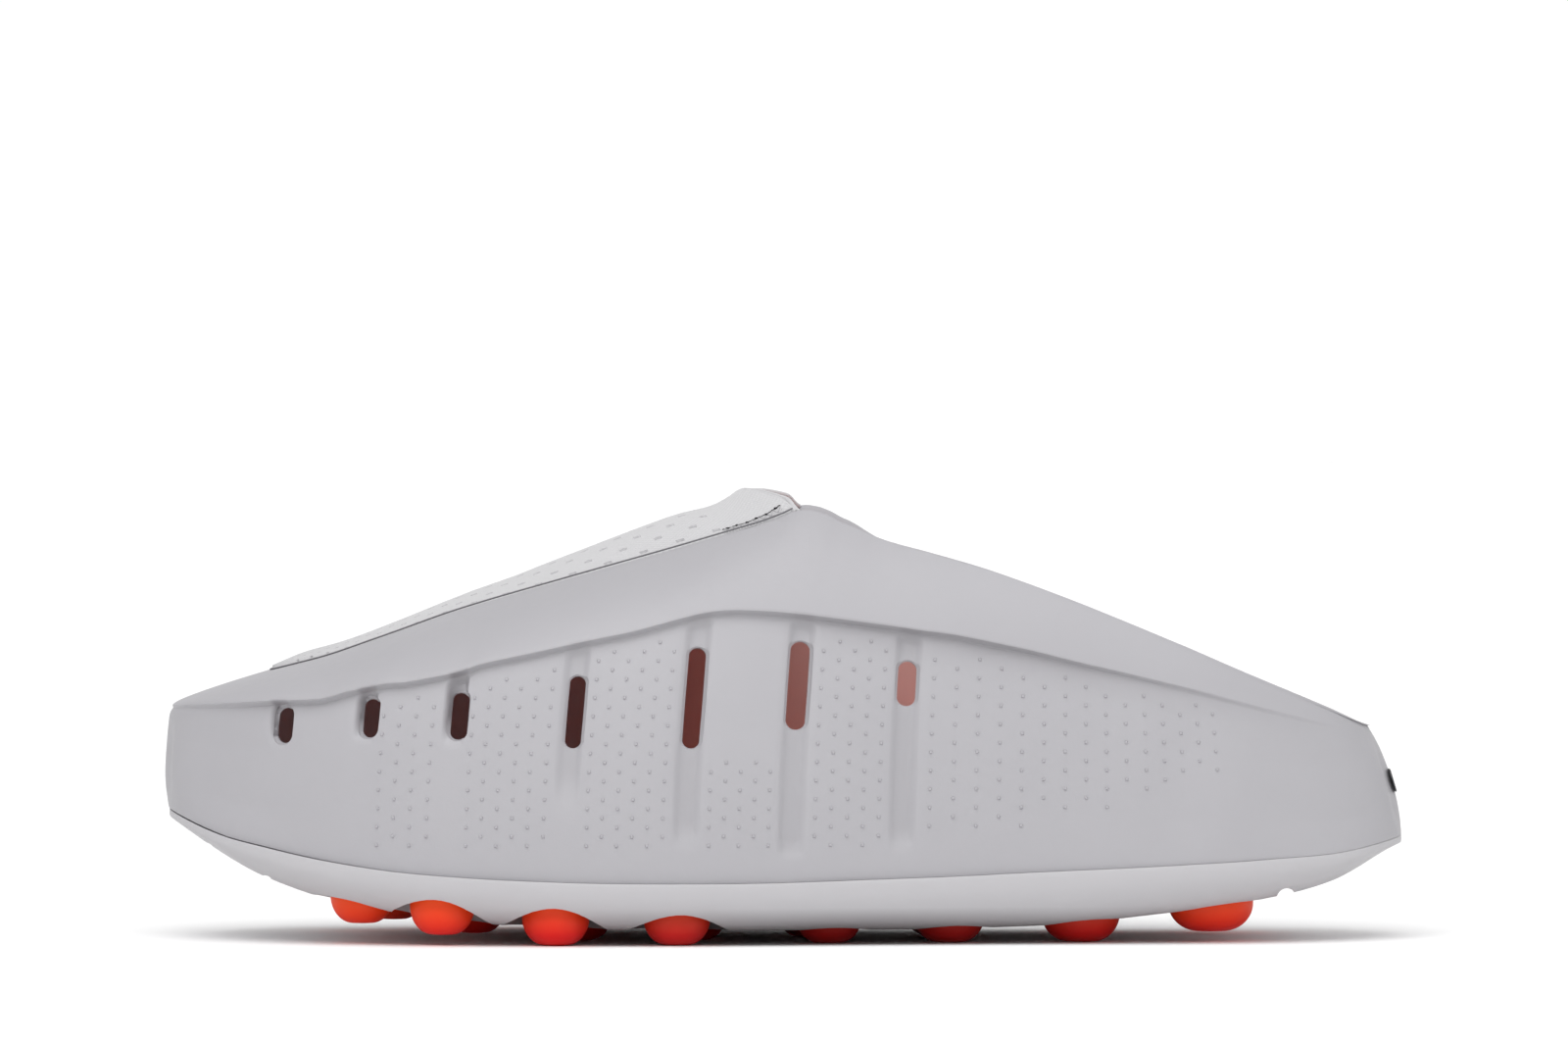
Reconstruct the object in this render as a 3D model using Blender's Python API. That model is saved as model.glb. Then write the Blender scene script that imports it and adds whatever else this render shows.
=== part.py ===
"""A foam sneaker mule for the left foot: a moulded foam shell with vent slots, a textile vamp let into it,
a foam base whose pockets hold round walking studs, and a footbed.

The toe points along -X, the outer (lateral) side faces -Y, and the studs stand on Z = 0. Metres.
"""
import math
from collections import namedtuple

import bmesh
import bpy
from mathutils import Vector

# Overall sizes
SHOE_LENGTH = 0.300
BALL_WIDTH = 0.116
INSTEP_HEIGHT = 0.109
TOE_RISE = 0.0317

# Walls and clearances
SHELL_WALL = 0.0036
VAMP_THICKNESS = 0.0022
BINDING_RADIUS = 0.0010
FOOTBED_THICKNESS = 0.0060
FOOTBED_DISH = 0.0022
FOOTBED_RIM = 0.0070
PIECE_GAP = 0.0003
# The footbed's and the vamp's curved edges have other facets than the wall's, so they keep further off
FOOTBED_SEAT = 0.0006
FOOTBED_CLEAR = 0.0009
VAMP_CLEAR = 0.0006
VAMP_DROP = 0.0002

# The shell's relief
LEDGE_STEP = 0.0016
FLUTE_WIDTH = 0.0058
FLUTE_EDGE = 0.0007
FLUTE_DEPTH = 0.0014
SLOT_WIDTH = 0.0048
RIPPLE_DEPTH = 0.0007
RIPPLE_PITCH = 0.0150
RIM_TAPER = 0.00045

# The base and its studs
BASE_LIP = 0.0016
BASE_LEAST = 0.0005
BASE_TURN = 0.0145
STUD_RADIUS = 0.0084
STUD_LIFT = 0.0049
STUD_CROWN = 0.0042
POCKET_FLARE = 0.0030
POCKET_FLARE_HEIGHT = 0.0072
POCKET_OVERSHOOT = 0.0020

# The heel badge
BADGE_WIDTH = 0.0150
BADGE_HEIGHT = 0.0060
BADGE_THICKNESS = 0.0010
BADGE_RISE = 0.0380

# Where the vamp's opening starts and ends, and how its rear edge is scooped
OPENING_TOE = 0.083
OPENING_HEEL = 0.971
THROAT = 0.512
THROAT_SCOOP = 0.0125

# Shares of the length from the toe tip over which each plan outline rounds off, and how squarely
BASE_ENDS = {"toe": 0.24, "heel": 0.20, "square": 2.3}
RIM_ENDS = {"toe": 0.10, "heel": 0.16, "square": 2.2}

# along: share of the length, from the toe. lateral, medial: half widths of the base, of the ball width.
# parting, under: the parting line's and the base's underside's heights, shares of the toe rise.
# ledge: the height of the step in the side, share of the instep height.
# lean: how far the wall has come from the base outline towards the rim where it meets the ledge.
Section = namedtuple("Section", "along lateral medial parting under ledge lean")
SECTIONS = (
    Section(0.000, 0.420, 0.450, 1.000, 0.940, 0.518, 0.06),
    Section(0.040, 0.425, 0.455, 0.842, 0.700, 0.530, 0.07),
    Section(0.083, 0.435, 0.465, 0.716, 0.492, 0.538, 0.09),
    Section(0.144, 0.458, 0.483, 0.600, 0.314, 0.548, 0.12),
    Section(0.200, 0.476, 0.494, 0.530, 0.226, 0.582, 0.15),
    Section(0.290, 0.497, 0.500, 0.473, 0.142, 0.632, 0.22),
    Section(0.370, 0.500, 0.478, 0.448, 0.114, 0.682, 0.30),
    Section(0.460, 0.482, 0.432, 0.442, 0.107, 0.738, 0.38),
    Section(0.580, 0.436, 0.386, 0.467, 0.107, 0.706, 0.42),
    Section(0.700, 0.404, 0.372, 0.528, 0.130, 0.640, 0.48),
    Section(0.810, 0.393, 0.380, 0.588, 0.229, 0.576, 0.60),
    Section(0.890, 0.388, 0.386, 0.655, 0.350, 0.518, 0.72),
    Section(0.940, 0.385, 0.388, 0.690, 0.475, 0.484, 0.78),
    Section(1.000, 0.385, 0.388, 0.801, 0.757, 0.459, 0.80),
)

# The edge of the shell's opening. lateral, medial: half widths, shares of the ball width.
# height: the edge's height. crown: the vamp's middle above it. Both are shares of the instep height.
Rim = namedtuple("Rim", "along lateral medial height crown")
RIMS = (
    Rim(0.083, 0.120, 0.150, 0.602, 0.000),
    Rim(0.126, 0.130, 0.160, 0.628, 0.016),
    Rim(0.174, 0.148, 0.178, 0.672, 0.020),
    Rim(0.236, 0.168, 0.198, 0.733, 0.026),
    Rim(0.326, 0.195, 0.215, 0.806, 0.047),
    Rim(0.413, 0.216, 0.225, 0.874, 0.058),
    Rim(0.475, 0.229, 0.232, 0.924, 0.050),
    Rim(0.512, 0.237, 0.237, 0.952, 0.039),
    Rim(0.552, 0.256, 0.249, 0.930, 0.000),
    Rim(0.579, 0.268, 0.257, 0.900, 0.000),
    Rim(0.671, 0.305, 0.278, 0.817, 0.000),
    Rim(0.737, 0.318, 0.289, 0.750, 0.000),
    Rim(0.819, 0.322, 0.296, 0.656, 0.000),
    Rim(0.869, 0.318, 0.298, 0.597, 0.000),
    Rim(0.935, 0.310, 0.298, 0.524, 0.000),
    Rim(0.971, 0.310, 0.298, 0.484, 0.000),
)

# Flutes in the side. along: share of the length. top, foot: the slot's ends, shares of the instep height.
# depth: share of the flute depth. tail: where the flute runs out below the slot, share of the instep height.
Flute = namedtuple("Flute", "along top foot depth tail")
FLUTES = (
    Flute(0.092, 0.520, 0.443, 0.60, 0.420),
    Flute(0.161, 0.539, 0.457, 0.60, 0.430),
    Flute(0.231, 0.552, 0.454, 0.60, 0.425),
    Flute(0.323, 0.592, 0.428, 0.80, 0.300),
    Flute(0.419, 0.658, 0.428, 1.00, 0.215),
    Flute(0.506, 0.669, 0.470, 1.00, 0.205),
    Flute(0.596, 0.624, 0.528, 1.00, 0.210),
)

# Studs. along: share of the length. across: share of the ball width, outer side negative.
# size: share of the stud radius. lift: share of the stud lift, 0 where the stud stands on the floor.
Stud = namedtuple("Stud", "along across size lift")
STUDS = (
    Stud(0.161, -0.285, 0.95, 1.00),
    Stud(0.184, -0.010, 0.95, 0.90),
    Stud(0.165, 0.262, 0.95, 1.00),
    Stud(0.226, -0.375, 0.96, 0.53),
    Stud(0.250, -0.128, 0.96, 0.35),
    Stud(0.250, 0.135, 0.96, 0.35),
    Stud(0.232, 0.378, 0.96, 0.53),
    Stud(0.317, -0.388, 1.00, 0.00),
    Stud(0.335, -0.128, 1.00, 0.00),
    Stud(0.335, 0.135, 1.00, 0.00),
    Stud(0.318, 0.385, 1.00, 0.00),
    Stud(0.414, -0.372, 1.00, 0.00),
    Stud(0.428, -0.110, 1.00, 0.00),
    Stud(0.425, 0.150, 1.00, 0.00),
    Stud(0.536, -0.270, 1.00, 0.00),
    Stud(0.520, 0.020, 1.00, 0.00),
    Stud(0.633, -0.235, 1.07, 0.00),
    Stud(0.625, 0.065, 1.07, 0.00),
    Stud(0.739, -0.205, 1.17, 0.00),
    Stud(0.739, 0.175, 1.17, 0.00),
    Stud(0.844, -0.180, 1.27, 0.49),
    Stud(0.844, 0.170, 1.27, 0.49),
)

# A stud's turned profile. out: share of its radius. up: share of its crown.
STUD_PROFILE = ((0.42, 0.00), (0.74, 0.13), (0.93, 0.44), (1.00, 1.00))

# How full the band above the ledge is: inwards, and upwards along the sides and at the toe's tip
BAND_INWARD = 0.30
BAND_UPWARD = 0.62
BAND_UPWARD_TOE = 0.48
BAND_TOE_REACH = 0.15

# How the vamp's crown and its scoop fall off from its middle to its sides: 2 is a parabola
CROWN_POWER = 2.0
THROAT_CROWN_POWER = 2.6
SCOOP_POWER = 1.5

# How far the medial side's flutes lie behind the lateral side's, as a share of the length
MEDIAL_SHIFT = 0.028

# Levels of the shell's rows: 0 at the parting line, 1 at the ledge and 2 at the rim
OUTER_LEVELS = (0.0, 0.16, 0.34, 0.58, 0.80, 0.94, 0.97, 1.0, 1.12, 1.35, 1.66, 1.93, 2.0)
INNER_LEVELS = (2.0, 1.93, 1.55, 1.15, 0.80, 0.40, 0.0)
# Rows that bend to each flute's foot: their share of the way from that foot up to FLUTE_ROWS_END
FLUTE_FOOT = 0.16
FLUTE_ROWS = {FLUTE_FOOT: 0.0, 0.34: 0.10, 0.58: 0.55}
FLUTE_ROWS_END = 0.80

# How finely the forms are drawn
END_COLUMNS = 9
STUD_SIDES = 12
POCKET_SIDES = 12
SLOT_SIDES = 4
VAMP_COLUMNS = 10
BASE_COLUMNS = 52
FOOTBED_COLUMNS = 40

# Colours, roughness
FINISHES = {
    "foam_grey": ((0.56, 0.55, 0.58), 0.55),
    "base_grey": ((0.60, 0.59, 0.61), 0.50),
    "textile_grey": ((0.62, 0.62, 0.64), 0.85),
    "stud_orange": ((0.95, 0.10, 0.01), 0.45),
    "footbed_orange": ((0.85, 0.10, 0.03), 0.80),
    "badge_dark": ((0.03, 0.03, 0.035), 0.40),
}


def smooth(rows, column, along):
    """A table's column at a share of the length, on a curve through the rows that never overshoots them."""
    marks = [row.along for row in rows]
    values = [getattr(row, column) for row in rows]
    if along <= marks[0]:
        return values[0]
    if along >= marks[-1]:
        return values[-1]
    last = len(rows) - 1
    index = next(i for i in range(last) if marks[i + 1] >= along)

    def secant(i):
        return (values[i + 1] - values[i]) / (marks[i + 1] - marks[i])

    def slope(i):
        if i in (0, last):
            return secant(min(i, last - 1))
        before, after = secant(i - 1), secant(i)
        if before * after <= 0:
            return 0.0
        return 2 * before * after / (before + after)

    width = marks[index + 1] - marks[index]
    t = (along - marks[index]) / width
    rise = values[index + 1] - values[index]
    start, end = slope(index) * width, slope(index + 1) * width
    return values[index] + t * (start + t * ((3 * rise - 2 * start - end) + t * (start + end - 2 * rise)))


def station(along):
    return (along - 0.5) * SHOE_LENGTH


def share_along(x):
    return x / SHOE_LENGTH + 0.5


def end_rounding(share, ends):
    """1 along the middle of an outline, falling to 0 at both of its tips."""
    reach = min(share / ends["toe"], (1 - share) / ends["heel"], 1.0)
    return max(0.0, 1 - (1 - reach) ** ends["square"]) ** (1 / ends["square"])


def side_width(rows, along, angle):
    column = "medial" if math.sin(angle) > 0 else "lateral"
    return BALL_WIDTH * smooth(rows, column, along)


def base_plan(angle):
    """The base's outline at an angle round the shoe: 0 at the heel, pi at the toe, medial side between."""
    share = (1 + math.cos(angle)) / 2
    width = side_width(SECTIONS, share, angle) * end_rounding(share, BASE_ENDS)
    return Vector((station(share), math.copysign(width, math.sin(angle)), 0))


def rim_share(angle):
    return OPENING_TOE + (OPENING_HEEL - OPENING_TOE) * (1 + math.cos(angle)) / 2


def rim_plan(angle):
    share = rim_share(angle)
    along_opening = (share - OPENING_TOE) / (OPENING_HEEL - OPENING_TOE)
    width = side_width(RIMS, share, angle) * end_rounding(along_opening, RIM_ENDS)
    return Vector((station(share), math.copysign(width, math.sin(angle)), 0))


def parting_height(x):
    return TOE_RISE * smooth(SECTIONS, "parting", share_along(x))


def under_height(x):
    return TOE_RISE * smooth(SECTIONS, "under", share_along(x))


def shell_smooth(angle, level):
    """The shell's outer form without its relief. Level 0 is the parting line, 1 the ledge and 2 the rim."""
    base, rim = base_plan(angle), rim_plan(angle)
    share = (1 + math.cos(angle)) / 2
    lean = smooth(SECTIONS, "lean", share)
    low = parting_height(base.x) + PIECE_GAP
    ledge = INSTEP_HEIGHT * smooth(SECTIONS, "ledge", share_along(base.x + (rim.x - base.x) * lean))
    top = INSTEP_HEIGHT * smooth(RIMS, "height", rim_share(angle))
    if level <= 1:
        point = base.lerp(rim, lean * level ** 1.9)
        point.z = low + (ledge - low) * level
        return point
    t = level - 1
    full = BAND_UPWARD_TOE + (BAND_UPWARD - BAND_UPWARD_TOE) * min(1.0, share / BAND_TOE_REACH)
    inward = 2 * t * (1 - t) * BAND_INWARD + t * t
    upward = 2 * t * (1 - t) * full + t * t
    point = base.lerp(rim, lean + (1 - lean) * inward)
    point.z = ledge + (top - ledge) * upward
    return point


def shell_normal(angle, level):
    """Points out of the shell, square to its form."""
    step = 0.004
    low, high = max(0.0, level - step), min(2.0, level + step)
    if level == 1:
        low, high = 1 - 8 * step, 1 + 8 * step
    up = shell_smooth(angle, high) - shell_smooth(angle, low)
    along = shell_smooth(angle + step, level) - shell_smooth(angle - step, level)
    return along.cross(up).normalized()


def flute_angle(flute, side):
    """The angle round the shoe at which a flute runs, on the medial side (1) or the lateral side (-1)."""
    along = flute.along + (MEDIAL_SHIFT if side > 0 else 0)
    return side * math.acos(2 * along - 1)


def flute_span(flute, side):
    """How much angle one metre along the wall takes at a flute."""
    at, step = flute_angle(flute, side), 0.01
    middle = 0.6
    reach = shell_smooth(at + step, middle) - shell_smooth(at - step, middle)
    return 2 * step / reach.length


def level_at(angle, height):
    """The level of the wall that lies at a height."""
    low, high = shell_smooth(angle, 0).z, shell_smooth(angle, 1).z
    return (height - low) / (high - low)


def ripple(angle, level):
    """Soft upright waves round the toe and the heel, which fade out along the sides."""
    share = (1 + math.cos(angle)) / 2
    toe_fade = max(0.0, 1 - share / 0.13)
    heel_fade = max(0.0, (share - 0.72) / 0.28)
    around = base_plan(angle)
    phase = 2 * math.pi * (abs(around.y) + abs(around.x) * 0.7) / RIPPLE_PITCH
    fade = min(1.0, 2.2 * (toe_fade + heel_fade)) * min(1.0, 3 * (1 - level)) * min(1.0, 4 * level + 0.3)
    return RIPPLE_DEPTH * fade * (0.5 - 0.5 * math.cos(phase))


def wall_point(angle, level, depth=0.0):
    """A point of the shell's form, depth metres inside it."""
    return shell_smooth(angle, level) - shell_normal(angle, level) * depth


def shell_columns():
    """The angles of the shell's columns, each with its flute and the share of that flute's depth."""
    columns = []
    for side in (-1, 1):
        for flute in FLUTES:
            at, span = flute_angle(flute, side), flute_span(flute, side)
            for offset, dip in ((-0.5, 1), (0.5, 1), (-0.5, 0), (0.5, 0)):
                edge = FLUTE_EDGE * (1 - dip) * math.copysign(1, offset)
                columns.append((at + (offset * FLUTE_WIDTH + edge) * span, flute, dip))
        for one, two in zip(FLUTES, FLUTES[1:]):
            columns.append(((flute_angle(one, side) + flute_angle(two, side)) / 2, None, 0))
        first, last = (abs(flute_angle(flute, side)) for flute in (FLUTES[0], FLUTES[-1]))
        for i in range(1, END_COLUMNS):
            columns.append((side * (first + (math.pi - first) * i / END_COLUMNS), None, 0))
            columns.append((side * last * i / END_COLUMNS, None, 0))
    columns += [(0.0, None, 0), (math.pi, None, 0)]
    return sorted(columns, key=lambda column: column[0])


def shell_relief(angle, level, flute, dip):
    """How far the outer face lies below the shell's form at a column and level."""
    if level >= 1:
        return 0.0
    depth = LEDGE_STEP * min(1.0, (1 - level) / 0.03) * ledge_strength(angle)
    if flute and dip and level_at(angle, flute.tail * INSTEP_HEIGHT) <= level + 1e-6:
        depth += FLUTE_DEPTH * flute.depth * dip * min(1.0, (1 - level) / 0.06)
    return depth + ripple(angle, level)


def ledge_strength(angle):
    """The ledge fades out towards the heel and is slight at the toe tip."""
    share = (1 + math.cos(angle)) / 2
    return min(1.0, max(0.0, (0.97 - share) / 0.30)) * min(1.0, 0.45 + share / 0.16)


def mesh_object(name, points, faces, finish):
    mesh = bpy.data.meshes.new(name)
    mesh.from_pydata(points, [], faces)
    shape = bmesh.new()
    shape.from_mesh(mesh)
    bmesh.ops.recalc_face_normals(shape, faces=shape.faces)
    shape.to_mesh(mesh)
    shape.free()
    mesh.shade_smooth()
    mesh.set_sharp_from_angle(angle=math.radians(35))
    thing = bpy.data.objects.new(name, mesh)
    bpy.context.scene.collection.objects.link(thing)
    if finish:
        mesh.materials.append(material(finish))
    return thing


def material(name):
    found = bpy.data.materials.get(name)
    if found:
        return found
    colour, roughness = FINISHES[name]
    made = bpy.data.materials.new(name)
    made.use_nodes = True
    shader = made.node_tree.nodes["Principled BSDF"]
    shader.inputs["Base Color"].default_value = (*colour, 1)
    shader.inputs["Roughness"].default_value = roughness
    shader.inputs["Metallic"].default_value = 0
    return made


def ring_faces(rings, count, first=0):
    """Four-sided faces between rings of count points each that lie one after another in a list."""
    faces = []
    for ring in range(rings - 1):
        for i in range(count):
            j = (i + 1) % count
            low, high = first + ring * count, first + (ring + 1) * count
            faces.append((low + i, low + j, high + j, high + i))
    return faces


def cut(thing, cutter):
    """Takes cutter's solid away from thing. Parts of the cutter may run into each other."""
    cutter.hide_render = True
    cutter.display_type = "WIRE"
    boolean = thing.modifiers.new("cut_" + cutter.name, "BOOLEAN")
    boolean.operation = "DIFFERENCE"
    boolean.solver = "EXACT"
    boolean.use_self = True
    boolean.object = cutter


def row_level(angle, level, flute):
    """A row's level at one column."""
    if not flute or level not in FLUTE_ROWS:
        return level
    foot = max(0.05, level_at(angle, flute.tail * INSTEP_HEIGHT))
    return foot + (FLUTE_ROWS_END - foot) * FLUTE_ROWS[level]


def make_upper():
    """The foam shell: one hollow wall, open above along the rim and underneath where the base closes it."""
    columns = shell_columns()
    points = []
    for level in OUTER_LEVELS:
        for angle, flute, dip in columns:
            height = row_level(angle, level, flute)
            drop = shell_relief(angle, height, None if level == FLUTE_FOOT else flute, dip)
            if level == OUTER_LEVELS[-1]:
                drop += RIM_TAPER
            points.append(wall_point(angle, height, drop))
    for level in INNER_LEVELS:
        for angle, _, _ in columns:
            inset = SHELL_WALL - (RIM_TAPER if level == INNER_LEVELS[0] else 0)
            point = wall_point(angle, level, inset)
            if level == 0.0:
                point.z = parting_height(point.x) + PIECE_GAP
            points.append(point)
    rows = len(OUTER_LEVELS) + len(INNER_LEVELS)
    faces = ring_faces(rows, len(columns))
    last = (rows - 1) * len(columns)
    for i in range(len(columns)):
        j = (i + 1) % len(columns)
        faces.append((last + i, last + j, j, i))
    upper = mesh_object("upper", points, faces, "foam_grey")
    cut(upper, make_slot_cutter())


def make_slot_cutter():
    """Upright round-ended bars, one through the wall at each flute on both sides."""
    points, faces = [], []
    reach = SHELL_WALL * 3
    for side in (-1, 1):
        for flute in FLUTES:
            angle = flute_angle(flute, side)
            top = wall_point(angle, level_at(angle, flute.top * INSTEP_HEIGHT))
            foot = wall_point(angle, level_at(angle, flute.foot * INSTEP_HEIGHT))
            out = shell_normal(angle, level_at(angle, (top.z + foot.z) / 2))
            up = (top - foot).normalized()
            along = up.cross(out).normalized()
            radius = SLOT_WIDTH / 2
            loop = []
            for centre, start in ((top - up * radius, 0.0), (foot + up * radius, math.pi)):
                for i in range(SLOT_SIDES + 1):
                    turn = start + math.pi * i / SLOT_SIDES
                    loop.append(centre + along * radius * math.cos(turn) + up * radius * math.sin(turn))
            first, count = len(points), len(loop)
            points += [point - out * reach for point in loop] + [point + out * reach for point in loop]
            faces += ring_faces(2, count, first)
            faces.append(tuple(range(first, first + count))[::-1])
            faces.append(tuple(range(first + count, first + 2 * count)))
    return mesh_object("slot_cutter", points, faces, None)


def plan_inset(angle, distance):
    """A point of the base's outline moved inwards in plan."""
    step = 0.01
    along = base_plan(angle + step) - base_plan(angle - step)
    inward = Vector((-along.y, along.x, 0)).normalized()
    return base_plan(angle) + inward * distance


def symmetric_angles(columns):
    """Angles round the shoe in mirrored pairs, with one at each tip."""
    half = columns // 2
    return [2 * math.pi * i / (2 * half) for i in range(2 * half)]


def cap_faces(first, count):
    """Strips across a loop of mirrored points, from its heel tip (0) to its toe tip (half way)."""
    half = count // 2
    faces = [(first, first + 1, first + count - 1)]
    for i in range(1, half - 1):
        faces.append((first + i, first + i + 1, first + count - i - 1, first + count - i))
    faces.append((first + half - 1, first + half, first + half + 1))
    return faces


def make_outsole():
    """The foam base: its top follows the parting line, and its underside rocks up at both ends."""
    angles = symmetric_angles(BASE_COLUMNS)
    points = []
    for inset in (0.0, BASE_TURN):
        for angle in angles:
            point = plan_inset(angle, inset)
            point.z = parting_height(point.x)
            points.append(point)
    for share in (0.0, 0.10, 0.30, 0.60, 1.0):
        for angle in angles:
            point = plan_inset(angle, BASE_TURN * share)
            edge = parting_height(point.x) - BASE_LIP
            deep = edge - min(edge - BASE_LEAST, under_height(point.x))
            point.z = edge - deep * (1 - (1 - share) ** 2.2) ** (1 / 2.2)
            points.append(point)
    count = len(angles)
    faces = ring_faces(2, count)
    faces += [tuple(reversed(face)) for face in cap_faces(count, count)]
    faces += ring_faces(5, count, 2 * count)
    faces += cap_faces(6 * count, count)
    for i in range(count):
        j = (i + 1) % count
        faces.append((i, j, 2 * count + j, 2 * count + i))
    outsole = mesh_object("outsole", points, faces, "base_grey")
    cut(outsole, make_pocket_cutter())


def stud_place(stud):
    """A stud's middle in plan, its radius and the height of its foot."""
    return (station(stud.along), BALL_WIDTH * stud.across, STUD_RADIUS * stud.size, STUD_LIFT * stud.lift)


def turned(rings, sides, x, y, turn=0.0):
    """Points of a turned form from (radius, height) rings, and faces with both ends closed."""
    points = []
    for radius, height in rings:
        for i in range(sides):
            angle = 2 * math.pi * i / sides + turn
            points.append((x + radius * math.cos(angle), y + radius * math.sin(angle), height))
    faces = ring_faces(len(rings), sides)
    faces.append(tuple(range(sides))[::-1])
    faces.append(tuple(range((len(rings) - 1) * sides, len(rings) * sides)))
    return points, faces


def make_pocket_cutter():
    """The pockets through the base: a running fit round each stud, flared below."""
    points, faces = [], []
    for stud in STUDS:
        x, y, radius, foot = stud_place(stud)
        snug = (radius + PIECE_GAP) / math.cos(math.pi / POCKET_SIDES)
        low = min(under_height(x), foot + STUD_CROWN) - POCKET_OVERSHOOT
        rings = (
            (snug + POCKET_FLARE, low),
            (snug + POCKET_FLARE * 0.75, under_height(x) + POCKET_FLARE_HEIGHT * 0.6),
            (snug, under_height(x) + POCKET_FLARE_HEIGHT),
            (snug, parting_height(x) + 2 * POCKET_OVERSHOOT),
        )
        more_points, more_faces = turned(rings, POCKET_SIDES, x, y)
        faces += [tuple(len(points) + i for i in face) for face in more_faces]
        points += more_points
    return mesh_object("pocket_cutter", points, faces, None)


def make_studs():
    """The studs, each from its pocket's top down to its flat foot."""
    for number, stud in enumerate(STUDS, 1):
        x, y, radius, foot = stud_place(stud)
        rings = [(radius * out, foot + STUD_CROWN * up) for out, up in STUD_PROFILE]
        toe_side, heel_side = parting_height(x - radius), parting_height(x + radius)
        rings.append((radius, min(toe_side, heel_side, parting_height(x))))
        points, faces = turned(rings, STUD_SIDES, x, y, math.pi / STUD_SIDES)
        mesh_object(f"stud_{number:02d}", points, faces, "stud_orange")


def make_insole():
    """The footbed: it lies on the base inside the shell, dished, with its rim following the wall."""
    angles = symmetric_angles(FOOTBED_COLUMNS)
    inset = SHELL_WALL + FOOTBED_CLEAR
    edge_low, edge_high, dish_edge, dish = [], [], [], []
    for angle in angles:
        low = wall_point(angle, 0, inset)
        low.z = parting_height(low.x) + FOOTBED_SEAT
        level = level_at(angle, low.z + FOOTBED_THICKNESS)
        high = wall_point(angle, level, inset)
        high.z = parting_height(high.x) + FOOTBED_SEAT + FOOTBED_THICKNESS
        for loop, distance, drop in ((dish_edge, 0.35, 0.25), (dish, 1.0, 1.0)):
            inner = plan_inset(angle, inset + FOOTBED_RIM * distance)
            inner.z = parting_height(inner.x) + FOOTBED_SEAT + FOOTBED_THICKNESS - FOOTBED_DISH * drop
            loop.append(inner)
        edge_low.append(low)
        edge_high.append(high)
    count = len(angles)
    faces = [tuple(reversed(face)) for face in cap_faces(0, count)]
    faces += ring_faces(4, count)
    faces += cap_faces(3 * count, count)
    mesh_object("insole", edge_low + edge_high + dish_edge + dish, faces, "footbed_orange")


def throat_angle(side):
    """The angle round the shoe at the vamp's rear corner."""
    share = (THROAT - OPENING_TOE) / (OPENING_HEEL - OPENING_TOE)
    return side * math.acos(2 * share - 1)


def rim_edge(angle, depth, clear):
    """A point beside the rim's edge face: depth below the shell's form and clear of the edge."""
    point = wall_point(angle, 2.0, depth)
    into = (shell_smooth(angle, 2.0) - shell_smooth(angle, 1.93)).normalized()
    return point + into * clear


def vamp_row(share, depth):
    """Points across the vamp, from its lateral edge over its crown to its medial edge."""
    start = math.pi - abs(throat_angle(1))
    angle = math.pi - start * share
    left, right = (rim_edge(side * angle, depth + VAMP_DROP, VAMP_CLEAR) for side in (-1, 1))
    crown = INSTEP_HEIGHT * smooth(RIMS, "crown", share_along((left.x + right.x) / 2))
    rear = share ** 6
    crown_power = CROWN_POWER + (THROAT_CROWN_POWER - CROWN_POWER) * rear
    points = []
    for i in range(VAMP_COLUMNS + 1):
        t = i / VAMP_COLUMNS
        point = left.lerp(right, t)
        point.z += crown * (1 - abs(2 * t - 1) ** crown_power)
        point.x -= THROAT_SCOOP * rear * (1 - abs(2 * t - 1) ** SCOOP_POWER)
        points.append(point)
    return points


def vamp_shares():
    return (0.10, 0.18, 0.28, 0.40, 0.52, 0.64, 0.76, 0.87, 0.94, 1.0)


def make_vamp():
    """The textile vamp: one crowned panel let into the front of the opening, its rear edge scooped."""
    width = VAMP_COLUMNS + 1
    points, faces = [], []
    for depth in (0.0, VAMP_THICKNESS):
        points.append(rim_edge(math.pi, depth + VAMP_DROP, VAMP_CLEAR))
        for share in vamp_shares():
            points += vamp_row(share, depth)
    side = 1 + width * len(vamp_shares())
    for first, outward in ((0, 1), (side, -1)):
        sheet = [(first, first + 1 + i, first + 2 + i) for i in range(VAMP_COLUMNS)]
        for row in range(len(vamp_shares()) - 1):
            for i in range(VAMP_COLUMNS):
                a = first + 1 + row * width + i
                sheet.append((a, a + width, a + width + 1, a + 1))
        faces += [face[::outward] for face in sheet]
    left_edge = [1 + row * width for row in range(len(vamp_shares()))]
    back_edge = list(range(left_edge[-1], left_edge[-1] + width))
    right_edge = [i + VAMP_COLUMNS for i in reversed(left_edge)]
    border = [0] + left_edge[:-1] + back_edge + right_edge[1:]
    for a, b in zip(border, border[1:] + border[:1]):
        faces.append((a, b, b + side, a + side))
    mesh_object("vamp", points, faces, "textile_grey")


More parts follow.
